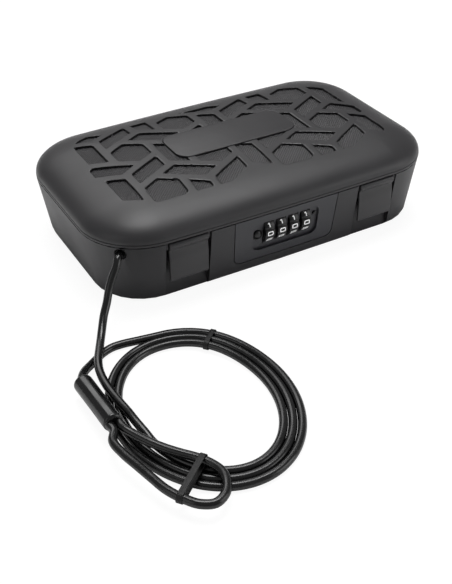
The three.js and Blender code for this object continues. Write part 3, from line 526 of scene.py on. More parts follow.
def lid_shape():
    """The lid's wall as one closed skin, and which of its points lie on a pocket's floor or wall.

    Outside, a square grid is laid over the plan and lifted to the crown, with the pockets sunk in it. Its
    rim goes on as rings round the ledge, under the seam and up inside to the roof.
    """
    step = size("lid_step")
    columns, rows = (2 * int(round(half / step)) for half in (size("half_length"), size("half_depth")))
    s, t = np.meshgrid(np.linspace(-1, 1, columns), np.linspace(-1, 1, rows))
    m = np.maximum(np.abs(s), np.abs(t))
    bend = 0.06
    shrink = 1 - (np.sqrt((1 - m) ** 2 + bend**2) - bend) / (math.sqrt(1 + bend**2) - bend)
    x, y = plan(s * shrink / m, t * shrink / m, size("ledge"))
    y = bowed(x, y)
    cells = tread_cells()
    distance = tread_distance(x, y, cells)
    e = 0.05
    slope_x = (tread_distance(x + e, y, cells) - tread_distance(x - e, y, cells)) / (2 * e)
    slope_y = (tread_distance(x, y + e, cells) - tread_distance(x, y - e, cells)) / (2 * e)
    edge, edge_drop, wall, seat_depth = size("tread_edge"), 0.14, 0.2, 1.2
    spacing = step * 1.06
    levels = snapped(distance, spacing, edge, wall)
    move = levels - distance
    x, y = x + move * slope_x, y + move * slope_y
    depth = np.interp(levels, [-wall, 0, edge], [size("tread_depth"), edge_drop, 0])
    seat = badge_distance(x, y) < 0.05
    depth = np.where(seat & (levels <= -wall), seat_depth, depth)
    z = crown_height(x, y) - depth
    top = np.stack([x, y, z], -1).reshape(-1, 3)

    i, j = np.meshgrid(np.arange(rows - 1), np.arange(columns - 1), indexing="ij")
    a, b = i * columns + j, i * columns + j + 1
    c, d = b + columns, a + columns
    flat = levels.ravel()
    first = np.abs(flat[a] - flat[c]) <= np.abs(flat[b] - flat[d])
    halves = np.where(
        first[..., None, None],
        np.stack([np.stack([a, b, c], -1), np.stack([a, c, d], -1)], -2),
        np.stack([np.stack([a, b, d], -1), np.stack([b, c, d], -1)], -2),
    ).reshape(-1, 3)

    number = np.arange(rows * columns).reshape(rows, columns)
    border = np.concatenate([number[0, :-1], number[:-1, -1], number[-1, :0:-1], number[:0:-1, 0]])
    bs, bt = s.ravel()[border], t.ravel()[border]
    inner_run = size("crown_run") - size("wall")
    inner_rise = size("crown") - size("rim_top") - size("tread_depth") - size("roof")
    inner_start = size("ledge") + size("wall")
    turn = np.radians(np.linspace(0, 90, 11))
    rim, low = size("rim_top"), 43.15
    profile = [(0.55, rim - 0.12), (0.6, rim - 0.25), (0.15, rim - 0.42), (0, rim - 0.65)]
    profile += [(0, low + 0.7), (0.1, low + 0.3), (0.35, low + 0.08), (0.7, low)]
    profile += [(1.3, low), (1.3, rim), (inner_start, rim)]
    profile += list(zip(inner_start + inner_run * (1 - np.cos(turn)), rim + inner_rise * np.sin(turn)))[1:]
    rings = [top[border]]
    for inset, height in profile:
        rx, ry = plan(bs, bt, inset)
        rings.append(np.stack([rx, bowed(rx, ry), np.full(len(rx), height)], -1))
    count = len(border)
    below = grid_faces(len(rings), count)[:, ::-1]
    numbers = np.concatenate([border, len(top) + np.arange(count * (len(rings) - 1))])
    cap = numbers[-count:][None, ::-1]
    points = np.concatenate([top] + rings[1:])
    floor = np.zeros(len(points))
    floor[: len(top)] = ((levels <= -wall) & ~seat).ravel()
    side = np.zeros(len(points))
    side[: len(top)] = ((levels <= 0) & (levels >= -wall)).ravel()
    return (points, [halves, numbers[below], cap]), {"pocket_floor": floor, "pocket_wall": side}


# Numbers on the dials

# Strokes of each number as shares of its width and height
DIGIT_SHARES = (
    (((0, 0.5), (0, 0), (1, 0), (1, 1), (0, 1), (0, 0.5)),),
    (((0.3, 0.8), (0.52, 1), (0.52, 0)),),
    (((0, 1), (1, 1), (1, 0.5), (0, 0.5), (0, 0), (1, 0)),),
    (((0, 1), (1, 1), (1, 0), (0, 0)), ((0.25, 0.5), (1, 0.5))),
    (((0, 1), (0, 0.42), (1, 0.42)), ((0.78, 1), (0.78, 0))),
    (((1, 1), (0, 1), (0, 0.5), (1, 0.5), (1, 0), (0, 0)),),
    (((1, 1), (0, 1), (0, 0), (1, 0), (1, 0.5), (0, 0.5)),),
    (((0, 1), (1, 1), (0.45, 0)),),
    (((0, 0.5), (0, 0), (1, 0), (1, 1), (0, 1), (0, 0.5), (1, 0.5)),),
    (((0, 1), (1, 1)), ((0, 0.5), (0, 0.3), (0.82, 0.3)), ((1, 0.5), (1, 0), (0, 0))),
)


def rounded_stroke(points, radius):
    """A line of straight runs whose corners are cut by a parabola of a given reach."""
    points = np.asarray(points, float)
    lines = [points[:1]]
    share = np.linspace(0, 1, 5)[:, None]
    for before, here, after in zip(points[:-2], points[1:-1], points[2:]):
        into, out = before - here, after - here
        start = here + into * min(radius / np.linalg.norm(into), 0.5)
        end = here + out * min(radius / np.linalg.norm(out), 0.5)
        lines.append((1 - share) ** 2 * start + 2 * share * (1 - share) * here + share**2 * end)
    line = np.concatenate(lines + [points[-1:]])
    along = walked(line)
    keep = np.concatenate([[True], np.diff(along) > 1e-6])
    line, along = line[keep], along[keep]
    extra = np.linspace(0, along[-1], max(int(along[-1] / 0.3), 2) + 1)
    at = np.unique(np.round(np.concatenate([along, extra]), 4))
    return np.stack([np.interp(at, along, line[:, k]) for k in (0, 1)], -1)


def stroke_skin(line, width, low, high):
    """A flat stroke: its line moved half its width to each side, between two heights."""
    ahead = np.gradient(line, axis=0)
    ahead /= np.maximum(np.linalg.norm(ahead, axis=1), 1e-9)[:, None]
    line = line.copy()
    line[0] -= ahead[0] * width / 2
    line[-1] += ahead[-1] * width / 2
    side = np.stack([-ahead[:, 1], ahead[:, 0]], -1) * width / 2
    layers = [(side, low), (-side, low), (-side, high), (side, high)]
    rings = np.stack(
        [np.concatenate([line + offset, np.full((len(line), 1), level)], -1) for offset, level in layers], 1
    )
    return stacked(rings)


def digit_skins(radius):
    """All ten numbers round a dial: a number's width runs along the axis and its height round the rim."""
    width, height, stroke = size("digit_width"), size("digit_height"), size("digit_stroke")
    drop, below, above = 0.34, 0.12, 0.035
    parts = []
    for digit, strokes in enumerate(DIGIT_SHARES):
        for order, shares in enumerate(strokes):
            line = rounded_stroke((np.array(shares) - 0.5) * (width, height) - (0, drop), 0.5)
            lift = 0.02 * order
            points, faces = stroke_skin(line, stroke, radius - below, radius + above + lift)
            x, around, reach = points.T
            angle = around / radius + math.radians(36) * digit
            parts.append((np.stack([x, -reach * np.cos(angle), reach * np.sin(angle)], -1), faces))
    return joined(*parts)


def dial_shape(radius, half, gate_depth, gate_half):
    """A dial: its radius dips between two numbers, drops to the gate on top, and eases off at both rims."""
    angle = np.linspace(0, 2 * math.pi, 320, endpoint=False)
    dip, dip_start, bore, ease = 0.55, 0.72, 1.8, 0.45
    between = 0.5 + 0.5 * np.cos(10 * (angle - math.pi / 10))
    rim = radius - dip * np.clip((between - dip_start) / (1 - dip_start), 0, 1) ** 0.7
    over = (np.abs(np.cos(angle) * rim) < gate_half) & (np.sin(angle) > 0)
    rim = np.where(over, np.minimum(rim, gate_depth / np.maximum(np.sin(angle), 0.1)), rim)
    across = [(bore, -half), (-ease, -half), (-0.14, -half + 0.14), (0, -half + ease)]
    across += [(value, -x) for value, x in across[::-1]]
    rings = []
    for change, x in across:
        r = np.full(len(angle), change) if change > 0 else rim + change
        rings.append(np.stack([np.full(len(angle), x), -r * np.cos(angle), r * np.sin(angle)], -1))
    return stacked(np.array(rings), closed=True)


# Materials


def add_node(tree, kind, inputs=None, **settings):
    """Adds a node: settings are its own, and inputs are values or the sockets that feed it."""
    made = tree.nodes.new(kind)
    for key, value in settings.items():
        setattr(made, key, value)
    for key, value in (inputs or {}).items():
        if isinstance(value, bpy.types.NodeSocket):
            tree.links.new(value, made.inputs[key])
        else:
            made.inputs[key].default_value = value
    return made


def new_tree(name):
    """An empty material and its tree."""
    material = bpy.data.materials.new(name)
    material.use_nodes = True
    material.node_tree.nodes.clear()
    return material, material.node_tree


def finish_tree(tree, shader):
    """The shader into the material's output."""
    add_node(tree, "ShaderNodeOutputMaterial", {"Surface": shader.outputs[0]})


def coated(tree, colour_value, gloss, relief, more):
    """The surface of a material from its colour, its roughness, its bent normals and further inputs."""
    inputs = {"Base Color": colour_value, "Roughness": gloss, "Normal": relief, **more}
    finish_tree(tree, add_node(tree, "ShaderNodeBsdfPrincipled", inputs))


def object_points(tree):
    """Points fixed to the object, in metres."""
    return add_node(tree, "ShaderNodeTexCoord").outputs["Object"]


def mapped(tree, where, scale=(1, 1, 1), rotation=(0, 0, 0)):
    """Points turned and stretched."""
    inputs = {"Vector": where, "Scale": scale, "Rotation": rotation}
    return add_node(tree, "ShaderNodeMapping", inputs).outputs[0]


def noise(tree, where, scale, detail, **more):
    """Cloudy noise at points."""
    inputs = {"Vector": where, "Scale": scale, "Detail": detail, **more}
    return add_node(tree, "ShaderNodeTexNoise", inputs).outputs["Fac"]


def cellular(tree, where, pitch, more=None, **settings):
    """Distance to the nearest middle of cells whose pitch is in millimetres."""
    inputs = {"Vector": where, "Scale": 1 / (pitch * MM), **(more or {})}
    return add_node(tree, "ShaderNodeTexVoronoi", inputs, **settings).outputs["Distance"]


def ranged(tree, value, low, high, start=0.0, end=1.0):
    """A value between start and end, moved to between low and high."""
    inputs = {"Value": value, "From Min": start, "From Max": end, "To Min": low, "To Max": high}
    return add_node(tree, "ShaderNodeMapRange", inputs).outputs[0]


def mixed(tree, share, first, second):
    """Two colours mixed by a share."""
    return add_node(tree, "ShaderNodeMix", {0: share, 6: first, 7: second}, data_type="RGBA").outputs[2]


def blended(tree, share, first, second):
    """Two numbers mixed by a share."""
    return add_node(tree, "ShaderNodeMix", {0: share, 2: first, 3: second}, data_type="FLOAT").outputs[0]


def bumped(tree, height, strength, distance, more=None, **settings):
    """Normals bent by a height of at most a distance in millimetres."""
    inputs = {"Strength": strength, "Distance": distance * MM, "Height": height, **(more or {})}
    return add_node(tree, "ShaderNodeBump", inputs, **settings).outputs[0]


def scaled(colour_value, share):
    """A colour made lighter or darker by a share."""
    return (*(min(channel * share, 1) for channel in colour_value[:3]), 1)


def moulded_plastic(name, colour_value, roughness, grain=1.0, bump=0.35, knurled=False):
    """ABS from an eroded mould.

    A fine even grain breaks the gloss, broad cloudy marks of flow shift it slightly, and handling leaves
    thin pale scuffs. The pocket floors carry rows of fine squares whose hollows are darkened in painted
    shade and whose crests are lightened, partly as wear and partly as painted highlight. The pockets'
    walls are darkened in painted shade and made glossier.
    """
    material, tree = new_tree(name)
    where = object_points(tree)
    grains = noise(tree, where, 1 / (size("grain") * grain * MM), 2.5, Roughness=0.6)
    clouds = noise(tree, where, 1 / (38 * MM), 3.0)
    scuffs = noise(tree, mapped(tree, where, (60, 900, 300), (0.3, 0.2, 0.5)), 1.0, 4.0, Roughness=0.7)
    marks = ranged(tree, scuffs, 0.0, 0.35, start=0.66, end=0.8)
    tint = mixed(tree, clouds, scaled(colour_value, 0.9), scaled(colour_value, 1.12))
    worn_and_shaded = mixed(tree, marks, tint, scaled(colour_value, 1.7))
    gloss = ranged(tree, clouds, roughness - 0.045, roughness + 0.045, start=0.3, end=0.7)
    relief = bumped(tree, grains, bump, 0.05)
    if knurled:
        floor, side = (
            add_node(tree, "ShaderNodeAttribute", attribute_name=part).outputs["Fac"]
            for part in ("pocket_floor", "pocket_wall")
        )
        squares = cellular(
            tree, mapped(tree, where, rotation=(0, 0, math.radians(45))), size("knurl"), {"Randomness": 0.0},
            voronoi_dimensions="2D", distance="CHEBYCHEV",
        )
        height = add_node(tree, "ShaderNodeMath", {0: squares, 1: floor}, operation="MULTIPLY").outputs[0]
        relief = bumped(tree, height, 1.0, 0.6, {"Normal": relief}, invert=True)
        # Painted shade and highlight: the knurl's hollows are darkened and its crests lightened in the colour,
        # the crests partly as wear
        knurl_light_and_shade = blended(tree, floor, 1.0, ranged(tree, squares, 1.9, 0.5, start=0.1, end=0.45))
        toned = add_node(tree, "ShaderNodeVectorMath", {0: worn_and_shaded, "Scale": knurl_light_and_shade}, operation="SCALE").outputs[0]
        # Painted shade: the pocket walls are darkened to three tenths of the colour, and their roughness drops
        # to 0.2
        worn_and_shaded = mixed(tree, side, toned, scaled(colour_value, 0.3))
        gloss = blended(tree, side, gloss, 0.2)
    coated(tree, worn_and_shaded, gloss, relief, {"IOR": 1.53})
    return material


def polished_plastic(name, colour_value, roughness):
    """Acetal as moulded in a polished tool: near black, glossy, with soft waves and faint fingerprints."""
    material, tree = new_tree(name)
    smears = noise(tree, object_points(tree), 1 / (3 * MM), 3.0)
    gloss = ranged(tree, smears, roughness - 0.08, roughness + 0.12)
    coated(tree, colour_value, gloss, bumped(tree, smears, 0.15, 0.05), {"IOR": 1.48})
    return material


def pad_print(name, colour_value):
    """White ink, pad printed: flat, slightly uneven, and given a faint painted glow that brightens it."""
    material, tree = new_tree(name)
    specks = noise(tree, object_points(tree), 1 / (0.4 * MM), 2.0)
    # Painted glow: a weak emission in the ink's own colour brightens the numbers beyond what the lamps give
    more = {"IOR": 1.5, "Emission Color": colour_value, "Emission Strength": 0.2}
    coated(tree, colour_value, ranged(tree, specks, 0.4, 0.6), bumped(tree, specks, 0.2, 0.02), more)
    return material


def extruded_vinyl(name, colour_value, roughness, on_cable):
    """Soft PVC drawn over wire rope: glossy, with long shallow ripples and dull handled spots."""
    material, tree = new_tree(name)
    coordinates = add_node(tree, "ShaderNodeTexCoord")
    where = coordinates.outputs["UV" if on_cable else "Object"]
    ripples = noise(tree, mapped(tree, where, (140, 5, 1) if on_cable else (140, 140, 140)), 1.0, 2.0)
    dull = noise(tree, coordinates.outputs["Object"], 1 / (11 * MM), 4.0)
    gloss = ranged(tree, dull, roughness - 0.05, roughness + 0.14, start=0.3, end=0.75)
    coated(tree, colour_value, gloss, bumped(tree, ripples, 0.16, 0.12), {"IOR": 1.54})
    return material


def sheet_metal(name, colour_value, roughness, streak):
    """Pressed or plated metal: fine streaks of rolling, with cloudy changes in its gloss."""
    material, tree = new_tree(name)
    streaks = noise(tree, mapped(tree, object_points(tree), (300, streak, streak)), 1.0, 3.0)
    gloss = ranged(tree, streaks, roughness - 0.12, roughness + 0.15)
    coated(tree, colour_value, gloss, bumped(tree, streaks, 0.2, 0.03), {"Metallic": 1.0})
    return material


def soft_matter(name, colour_value, roughness, pore, bump):
    """Matt soft matter: open pores for cut foam, a dusty bloom for moulded rubber and woven nylon."""
    material, tree = new_tree(name)
    where = object_points(tree)
    bloom = noise(tree, where, 1 / (9 * MM), 4.0)
    gloss = ranged(tree, bloom, roughness - 0.08, min(roughness + 0.1, 1))
    coated(tree, colour_value, gloss, bumped(tree, cellular(tree, where, pore), bump, 0.25), {"IOR": 1.45})
    return material


@functools.cache
def materials():
    """The slot and the material for each kind of piece, made when the first is asked for."""
    cable = colour("cable")
    return {
        "lid": ("lid_plastic", moulded_plastic("abs_lid_eroded_mould", colour("lid"), 0.43, knurled=True)),
        "base": ("base_plastic", moulded_plastic("abs_base_eroded_mould", colour("base"), 0.46)),
        "badge": ("panel_plastic", moulded_plastic("abs_badge_fine_mould", colour("lid"), 0.4, 0.8)),
        "panel": ("panel_plastic", moulded_plastic("abs_panel_fine_mould", colour("panel"), 0.4, 0.8, 0.25)),
        "cover": ("cover_plastic", moulded_plastic("abs_cover_eroded_mould", colour("cover"), 0.55)),
        "dial": ("dial_plastic", polished_plastic("acetal_dial_polished_mould", colour("dial"), 0.3)),
        "digits": ("dial_plastic", pad_print("ink_white_pad_print", colour("digits"))),
        "cable": ("cable_vinyl", extruded_vinyl("vinyl_sheath_extruded", cable, 0.2, True)),
        "vinyl": ("cable_vinyl", extruded_vinyl("vinyl_sleeve_moulded", cable, 0.16, False)),
        "band": ("cable_vinyl", soft_matter("nylon_band_woven", scaled(cable, 0.5), 0.5, 0.4, 0.3)),
        "rubber": ("rubber", soft_matter("rubber_moulded", colour("rubber"), 0.8, 0.8, 0.25)),
        "foam": ("foam", soft_matter("foam_sheet_cut", colour("foam"), 0.9, 0.9, 0.8)),
        "steel": ("steel", sheet_metal("steel_sheet_pressed", colour("steel"), 0.36, 2600)),
        "zinc": ("steel", sheet_metal("zinc_plated_bright", colour("zinc"), 0.3, 1500)),
    }


# Tether

# Points of its free stretches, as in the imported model
DROP_ROUTE = (
    (-113.5, -68.2, 35.7), (-117.6, -70.7, 31), (-121.5, -73.7, 25.3), (-125, -77.6, 20),
    (-129.4, -82.3, 15.2), (-133.5, -88.4, 11.4), (-137.7, -95.4, 8.9), (-141.2, -101.6, 7.9),
    (-144.7, -108.2, 7.4), (-147.3, -115.3, 7.4), (-148.8, -123, 7.4), (-149.4, -131, 7.4),
    (-149.3, -139, 7.4), (-148.7, -147, 7.3), (-147.9, -155, 7), (-147.1, -163, 6), (-145.8, -170.5, 4.4),
    (-144.7, -178, 3),
)
TAIL_ROUTE = (
    (-117.2, -98, 2.4), (-124.4, -96.6, 2.3), (-131.4, -96.4, 2.3), (-138, -98.4, 2.3),
    (-143.9, -102.2, 2.6), (-149.2, -106.8, 3.9), (-153.8, -111.6, 5.9), (-157.4, -116.4, 7.4),
)
SLEEVE_ENDS = ((-160.1, -122.6, 8.4), (-159.1, -163.5, 10.7))
EYE_ROUTE = (
    (-164.6, -174, 10.6), (-163.8, -184.2, 10.2), (-161.2, -194.2, 9.8), (-158.3, -205, 9.3),
    (-155.4, -215, 8.8), (-150.6, -224.2, 8.5), (-145.4, -230.8, 8.4), (-138.8, -233.8, 8.4),
    (-132.4, -231, 8.4), (-128, -224.8, 8.4), (-126.6, -217.4, 8.4), (-128.8, -210.1, 8.4),
    (-132.6, -203.8, 8.5), (-138.2, -197.2, 8.6), (-144.2, -189.8, 9), (-149.3, -182.3, 9.6),
    (-153.6, -174.4, 10.2),
)
STRAP_ENDS = ((-131.2, -205.9, 8.4), (-151.4, -222.6, 8.5))
LEAVE_DEGREES = 227.5
LEAVE_HEIGHT = 38.45
# Radius of the base's corner at its top, how far its foot is set in, and the height between the two
BASE_CORNER, BASE_TAPER, BASE_RISE = 40, 6.3, 43
# The coil's oval, and the turns along its strands from the drop to the tail, in 24 steps a turn
COIL_CENTRE = (-109.8, -164.5)
COIL_HALVES = (49.3, 63.5)
COIL_DEGREES = 160
COIL_TURNS = np.arange(3, 67.01, 1 / 2) / 24
# Distance of two strands, the turn that lies on the oval, and how far the start is set in until the turns
# between which that fades
COIL_PITCH, COIL_EVEN, COIL_INSET, COIL_SETTLES = 4.9, 2.56, 1.1, (0.125, 0.4)
# Where the tie goes round the strands, how far it lifts them and over how many degrees each way
TIE_DEGREES, TIE_LIFT, TIE_REACH = 49, 1.2, 42
STRAND_GAP = 0.15


def smooth_step(value, low, high):
    """Rises evenly from 0 to 1 between two values."""
    share = np.clip((value - low) / (high - low), 0, 1)
    return share * share * (3 - 2 * share)


def coil_points(turns):
    """Points of the flat coil at numbers of turns: an oval whose offset outwards grows by a pitch per turn.

    Its start is set inwards, clear of the next strand, and the tie that goes under the strands lifts them.
    """
    degrees = COIL_DEGREES + 360 * turns
    toward = heading(degrees)
    normal = unit(toward * COIL_HALVES[::-1])
    out = COIL_PITCH * (turns - COIL_EVEN) - COIL_INSET * (1 - smooth_step(turns, *COIL_SETTLES))
    away = np.abs((degrees - TIE_DEGREES + 180) % 360 - 180)
    lift = TIE_LIFT * (1 - smooth_step(away, 0, TIE_REACH))
    spots = np.array(COIL_CENTRE) + toward * COIL_HALVES + normal * out[:, None]
    return np.column_stack([spots, size("cable") / 2 + lift])


def leaving(distance):
    """A point on the line square to the base's corner along which the tether leaves it."""
    reach = BASE_CORNER - BASE_TAPER * (1 - LEAVE_HEIGHT / BASE_RISE) + distance
    out = heading(LEAVE_DEGREES)
    corner_x = size("corner") - size("half_length")
    corner_y = size("corner") - size("half_depth") + size("bow")
    return np.array((corner_x + out[0] * reach, corner_y + out[1] * reach, LEAVE_HEIGHT))


def tether_line():
    """The whole centreline: out of the corner, down, round the coil, through the sleeve, round the eye
    and back into the sleeve beside itself."""
    start, end = np.array(SLEEVE_ENDS)
    axis = unit(end - start)
    beside = unit(np.cross(axis, (0, 0, 1))) * (size("cable") / 2 + STRAND_GAP)
    drop = [leaving(-4.6), leaving(0), leaving(4.5), *DROP_ROUTE]
    sleeve = [start, start + axis * 8, start + axis * 20 + beside, start + axis * 30 + beside]
    out = [end + beside, end + beside + axis * 4.8]
    back = [end - beside + axis * along for along in (4.8, 0, -10, -16)]
    stretches = (drop, coil_points(COIL_TURNS), TAIL_ROUTE, sleeve, out, EYE_ROUTE, back)
    return through(np.concatenate(stretches), 1.4)


def band_shape(start, end, thickness, width, clearance):
    """A flat closed band round a row of strands: two half circles and two straights, square to the row."""
    start, end = np.array(start), np.array(end)
    length = np.linalg.norm((end - start)[:2])
    along = (end - start) * (1, 1, 0) / length
    across = np.cross(along, (0, 0, 1))
    middle = size("cable") / 2 + clearance + thickness / 2
    loop = rounded_loop(-middle, length + middle, -middle, middle, middle - 1e-3, 14)
    origin = (*start[:2], (start[2] + end[2]) / 2)
    points = origin + loop[:, :1] * along + loop[:, 1:] * (0, 0, 1)
    square = np.cross(unit(np.roll(points, -1, 0) - np.roll(points, 1, 0)), across)
    section = rounded_loop(-width / 2, width / 2, -thickness / 2, thickness / 2, thickness * 0.4, 3)
    rings = points[:, None] + section[None, :, :1] * across + section[None, :, 1:] * square[:, None]
    return stacked(rings, closed=True)


class CARSAFE_OT_tether(bpy.types.Operator):
    """Make the coated cable, its sleeve, bands, grommet and inner stop"""

    bl_idname = "car_safe.tether"
    bl_label = "Tether"

    def execute(self, context):
        line = tether_line()
        sides = 20
        rings = swept(line, size("cable") / 2 * heading(np.linspace(0, 360, sides, endpoint=False)))
        solids = ("cable_drop", "cable_coil", "cable_tail", "cable_eye")
        cable = add_piece("tether_cable", stacked(rings), "cable", "base", solids, sharp=60)
        along = walked(line)
        corners = np.zeros(len(cable.data.loops), int)
        cable.data.loops.foreach_get("vertex_index", corners)
        row, column = corners // sides, corners % sides
        seam = np.zeros(len(corners), bool)
        quads = (len(rings) - 1) * sides * 4
        four = column[:quads].reshape(-1, 4)
        seam[:quads] = ((four == 0) & (four.max(1) == sides - 1)[:, None]).ravel()
        layer = cable.data.uv_layers.new(name="along_and_round")
        layer.data.foreach_set("uv", np.stack([along[row] * MM, column / sides + seam], -1).ravel())

        start, end = np.array(SLEEVE_ENDS)
        length = np.linalg.norm(end - start)
        neck, radius, rounding, waist = 3.3, 5.4, 1.9, 0.12
        turn = np.radians(np.linspace(0, 90, 7))
        shoulder = np.stack([neck + (radius - neck) * np.sin(turn), rounding * (1 - np.cos(turn))], -1)
        middle = np.linspace(0.06, 0.94, 9)
        body = np.stack([radius - waist * np.sin(math.pi * middle) ** 2, length * middle], -1)
        profile = np.concatenate([shoulder, body, (0, length) + shoulder[::-1] * (1, -1)])
        shape = turned(profile, start, end - start, 40)
        sleeve = add_piece("crimp_sleeve", shape, "vinyl", "base", ("cable_sleeve",))
        tie_ends = coil_points((360 * np.array((3, 1)) + TIE_DEGREES - COIL_DEGREES) / 360)
        tie = add_piece("coil_band", band_shape(*tie_ends, 0.45, 3, 0.2), "band", "base", ("coil_tie",))
        shape = band_shape(*STRAP_ENDS, 0.5, 3.4, 0.2)
        strap = add_piece("eye_band", shape, "band", "base", ("eye_strap",))
        out = leaving(1) - leaving(0)
        ring = [(3.6, -4.6), (3.6, -1.3), (3.35, -1), (3.0, -0.9), (2.75, -0.95), (2.6, -1.3), (2.6, -4.6)]
        shape = turned(ring, leaving(0), out, 40, closed=True)
        add_piece("grommet", shape, "rubber", "base", ("cable_bush",))
        stop = [(3.5, -13.9), (3.9, -13.6), (4, -13.2), (4, -5.6), (3.9, -5.2), (3.5, -4.9)]
        add_piece("cable_end_stop", turned(stop, leaving(0), out, 36), "zinc", "base", ("cable_stop",))
        tuple(place(leaving(0)))
        size("cable") * MM
        return {"FINISHED"}


# Case

# Half the distance of the hinges, and the hinge line's place towards the back and up
HINGE_SIDE, HINGE_LINE = 60, (74, 43)
# A latch pin's place towards the front and up, and how far its flap reaches outwards and down
LATCH_PIN, FLAP_REACH = (-69.4, 40), (4.3, 24.7)
# Thickness of the lugs that hold a latch pin, and their gap to the flap
LUG, LUG_GAP = 1.35, 0.3
# The dials' radius, their axis towards the front and up, and the gate's depth and half its width
DIAL_RADIUS, DIAL_AXIS, DIAL_GATE = 9.3, (-64.52, 28.8), (6.8, 1.8)


class CARSAFE_OT_lid(bpy.types.Operator):
    """Make the lid with its tread, its knuckles and lugs, and the badge plate"""

    bl_idname = "car_safe.lid"
    bl_label = "Lid"

    def execute(self, context):
        shape, shares = lid_shape()
        lid = add_piece("lid_cover", shape, "lid", "lid", ("lid_shell",), sharp=38)
        for name, values in shares.items():
            lid.data.attributes.new(name, "FLOAT", "POINT").data.foreach_set("value", values)
        rim = [(1.6, -5.7), (2.55, -5.7), (2.8, -5.45), (2.8, 5.45), (2.55, 5.7), (1.6, 5.7)]
        for side, x in (("left", -HINGE_SIDE), ("right", HINGE_SIDE)):
            shape = turned(rim, (x, *HINGE_LINE), (1, 0, 0), 40, closed=True)
            add_piece(f"lid_knuckle_{side}", shape, "lid", "lid")
        for side in ("left", "right"):
            low, high = case_box(f"latch_{side}")
            for end, x in (("outer", low[0] - LUG_GAP - LUG), ("inner", high[0] + LUG_GAP)):
                shape = block((x, -71.9, 37.5), (x + LUG, -66.9, 46.2), 1.8, 0.2, axis=0)
                add_piece(f"latch_lug_{side}_{end}", shape, "lid", "lid")
        boss = rounded_loop(-37.1, -22.3, -70.5, -58.6, 1)
        heights = (np.full(len(boss), size("rim_top")), crown_height(boss[:, 0], boss[:, 1]) - 1.3)
        rings = np.array([np.column_stack([boss, height]) for height in heights])
        add_piece("striker_boss", stacked(rings), "lid", "lid")
        shape = block(*case_box("badge_plate"), 9, 0.35, steps=14)
        add_piece("badge", shape, "badge", "lid", ("badge_plate",))
        return {"FINISHED"}


class CARSAFE_OT_base(bpy.types.Operator):
    """Make the base, its feet and the cover behind the lock"""

    bl_idname = "car_safe.base"
    bl_label = "Base"

    def execute(self, context):
        refined("base_shell", "base_tub", "base", 0.4)
        refined("lock_cover", "lock_back_cover", "cover", 0.4)
        ring = [(0.6, 0.5), (5.6, 0.5), (6.2, 0.12), (6.6, 0), (6.9, 0.15), (7, 0.45), (7, 1.5), (6.8, 1.7)]
        for number in range(1, 5):
            low, high = case_box(f"foot_{number}")
            shape = turned(ring, (*(low + high)[:2] / 2, 0), (0, 0, 1), 48)
            add_piece(f"rubber_foot_{number}", shape, "rubber", "base", (f"foot_{number}",))
        return {"FINISHED"}


# Section of a latch flap from its pin: outwards as shares of its reach, upwards as shares of its drop
FLAP_SHARES = (
    (0, 0.089), (0.3, 0.1), (0.605, 0.097), (0.814, 0.085), (0.953, 0.053), (1, 0.008), (0.953, -0.04),
    (0.79, -0.078), (0.665, -0.113), (0.635, -0.17), (0.65, -0.23), (0.69, -0.3), (0.715, -0.364),
    (0.72, -0.43), (0.71, -0.5), (0.68, -0.7), (0.64, -0.94), (0.61, -0.985), (0.54, -1),
    (0.372, -1), (0.3, -0.99), (0.279, -0.96), (0.3, -0.7), (0.3, -0.405), (0.209, -0.3),
    (0.093, -0.202), (0.047, -0.089), (0.28, -0.057), (0.41, 0), (0.28, 0.057),
)


class CARSAFE_OT_latches(bpy.types.Operator):
    """Make the two latch flaps with their barrels"""

    bl_idname = "car_safe.latches"
    bl_label = "Latches"

    def execute(self, context):
        for side in ("left", "right"):
            low, high = case_box(f"latch_{side}")
            outline = LATCH_PIN + np.array(FLAP_SHARES) * FLAP_REACH * (-1, 1)
            outline = through(outline, 0.4, closed=True)
            ahead = unit(np.roll(outline, -1, 0) - np.roll(outline, 1, 0))
            inward = np.stack([-ahead[:, 1], ahead[:, 0]], -1)
            rings = np.array([
                np.concatenate([np.full((len(outline), 1), x), outline + inward * inset], 1)
                for inset, x in edge_profile(low[0], high[0], 0.4)
            ])
            middle = (low[0] + high[0]) / 2
            barrel = [(1.4, -13), (2.0, -13), (2.2, -12.8), (2.2, 12.8), (2.0, 13), (1.4, 13)]
            barrel = turned(barrel, (middle, *LATCH_PIN), (1, 0, 0), 40, closed=True)
            shape = joined(stacked(rings), barrel)
            latch = f"latch_{side}"
            add_piece(f"latch_flap_{side}", shape, "lid", latch, (latch,), sharp=48)
        return {"FINISHED"}


# Lock


def drawn_in(points):
    """The panel's points with its sides and its bottom drawn in a little, for a clear shadow line."""
    draw, side, bottom = 0.25, 28, 15.5
    out = points.copy()
    out[:, 0] -= np.sign(points[:, 0]) * draw * (np.abs(points[:, 0]) > side)
    out[:, 2] += draw * (points[:, 2] < bottom)
    return out


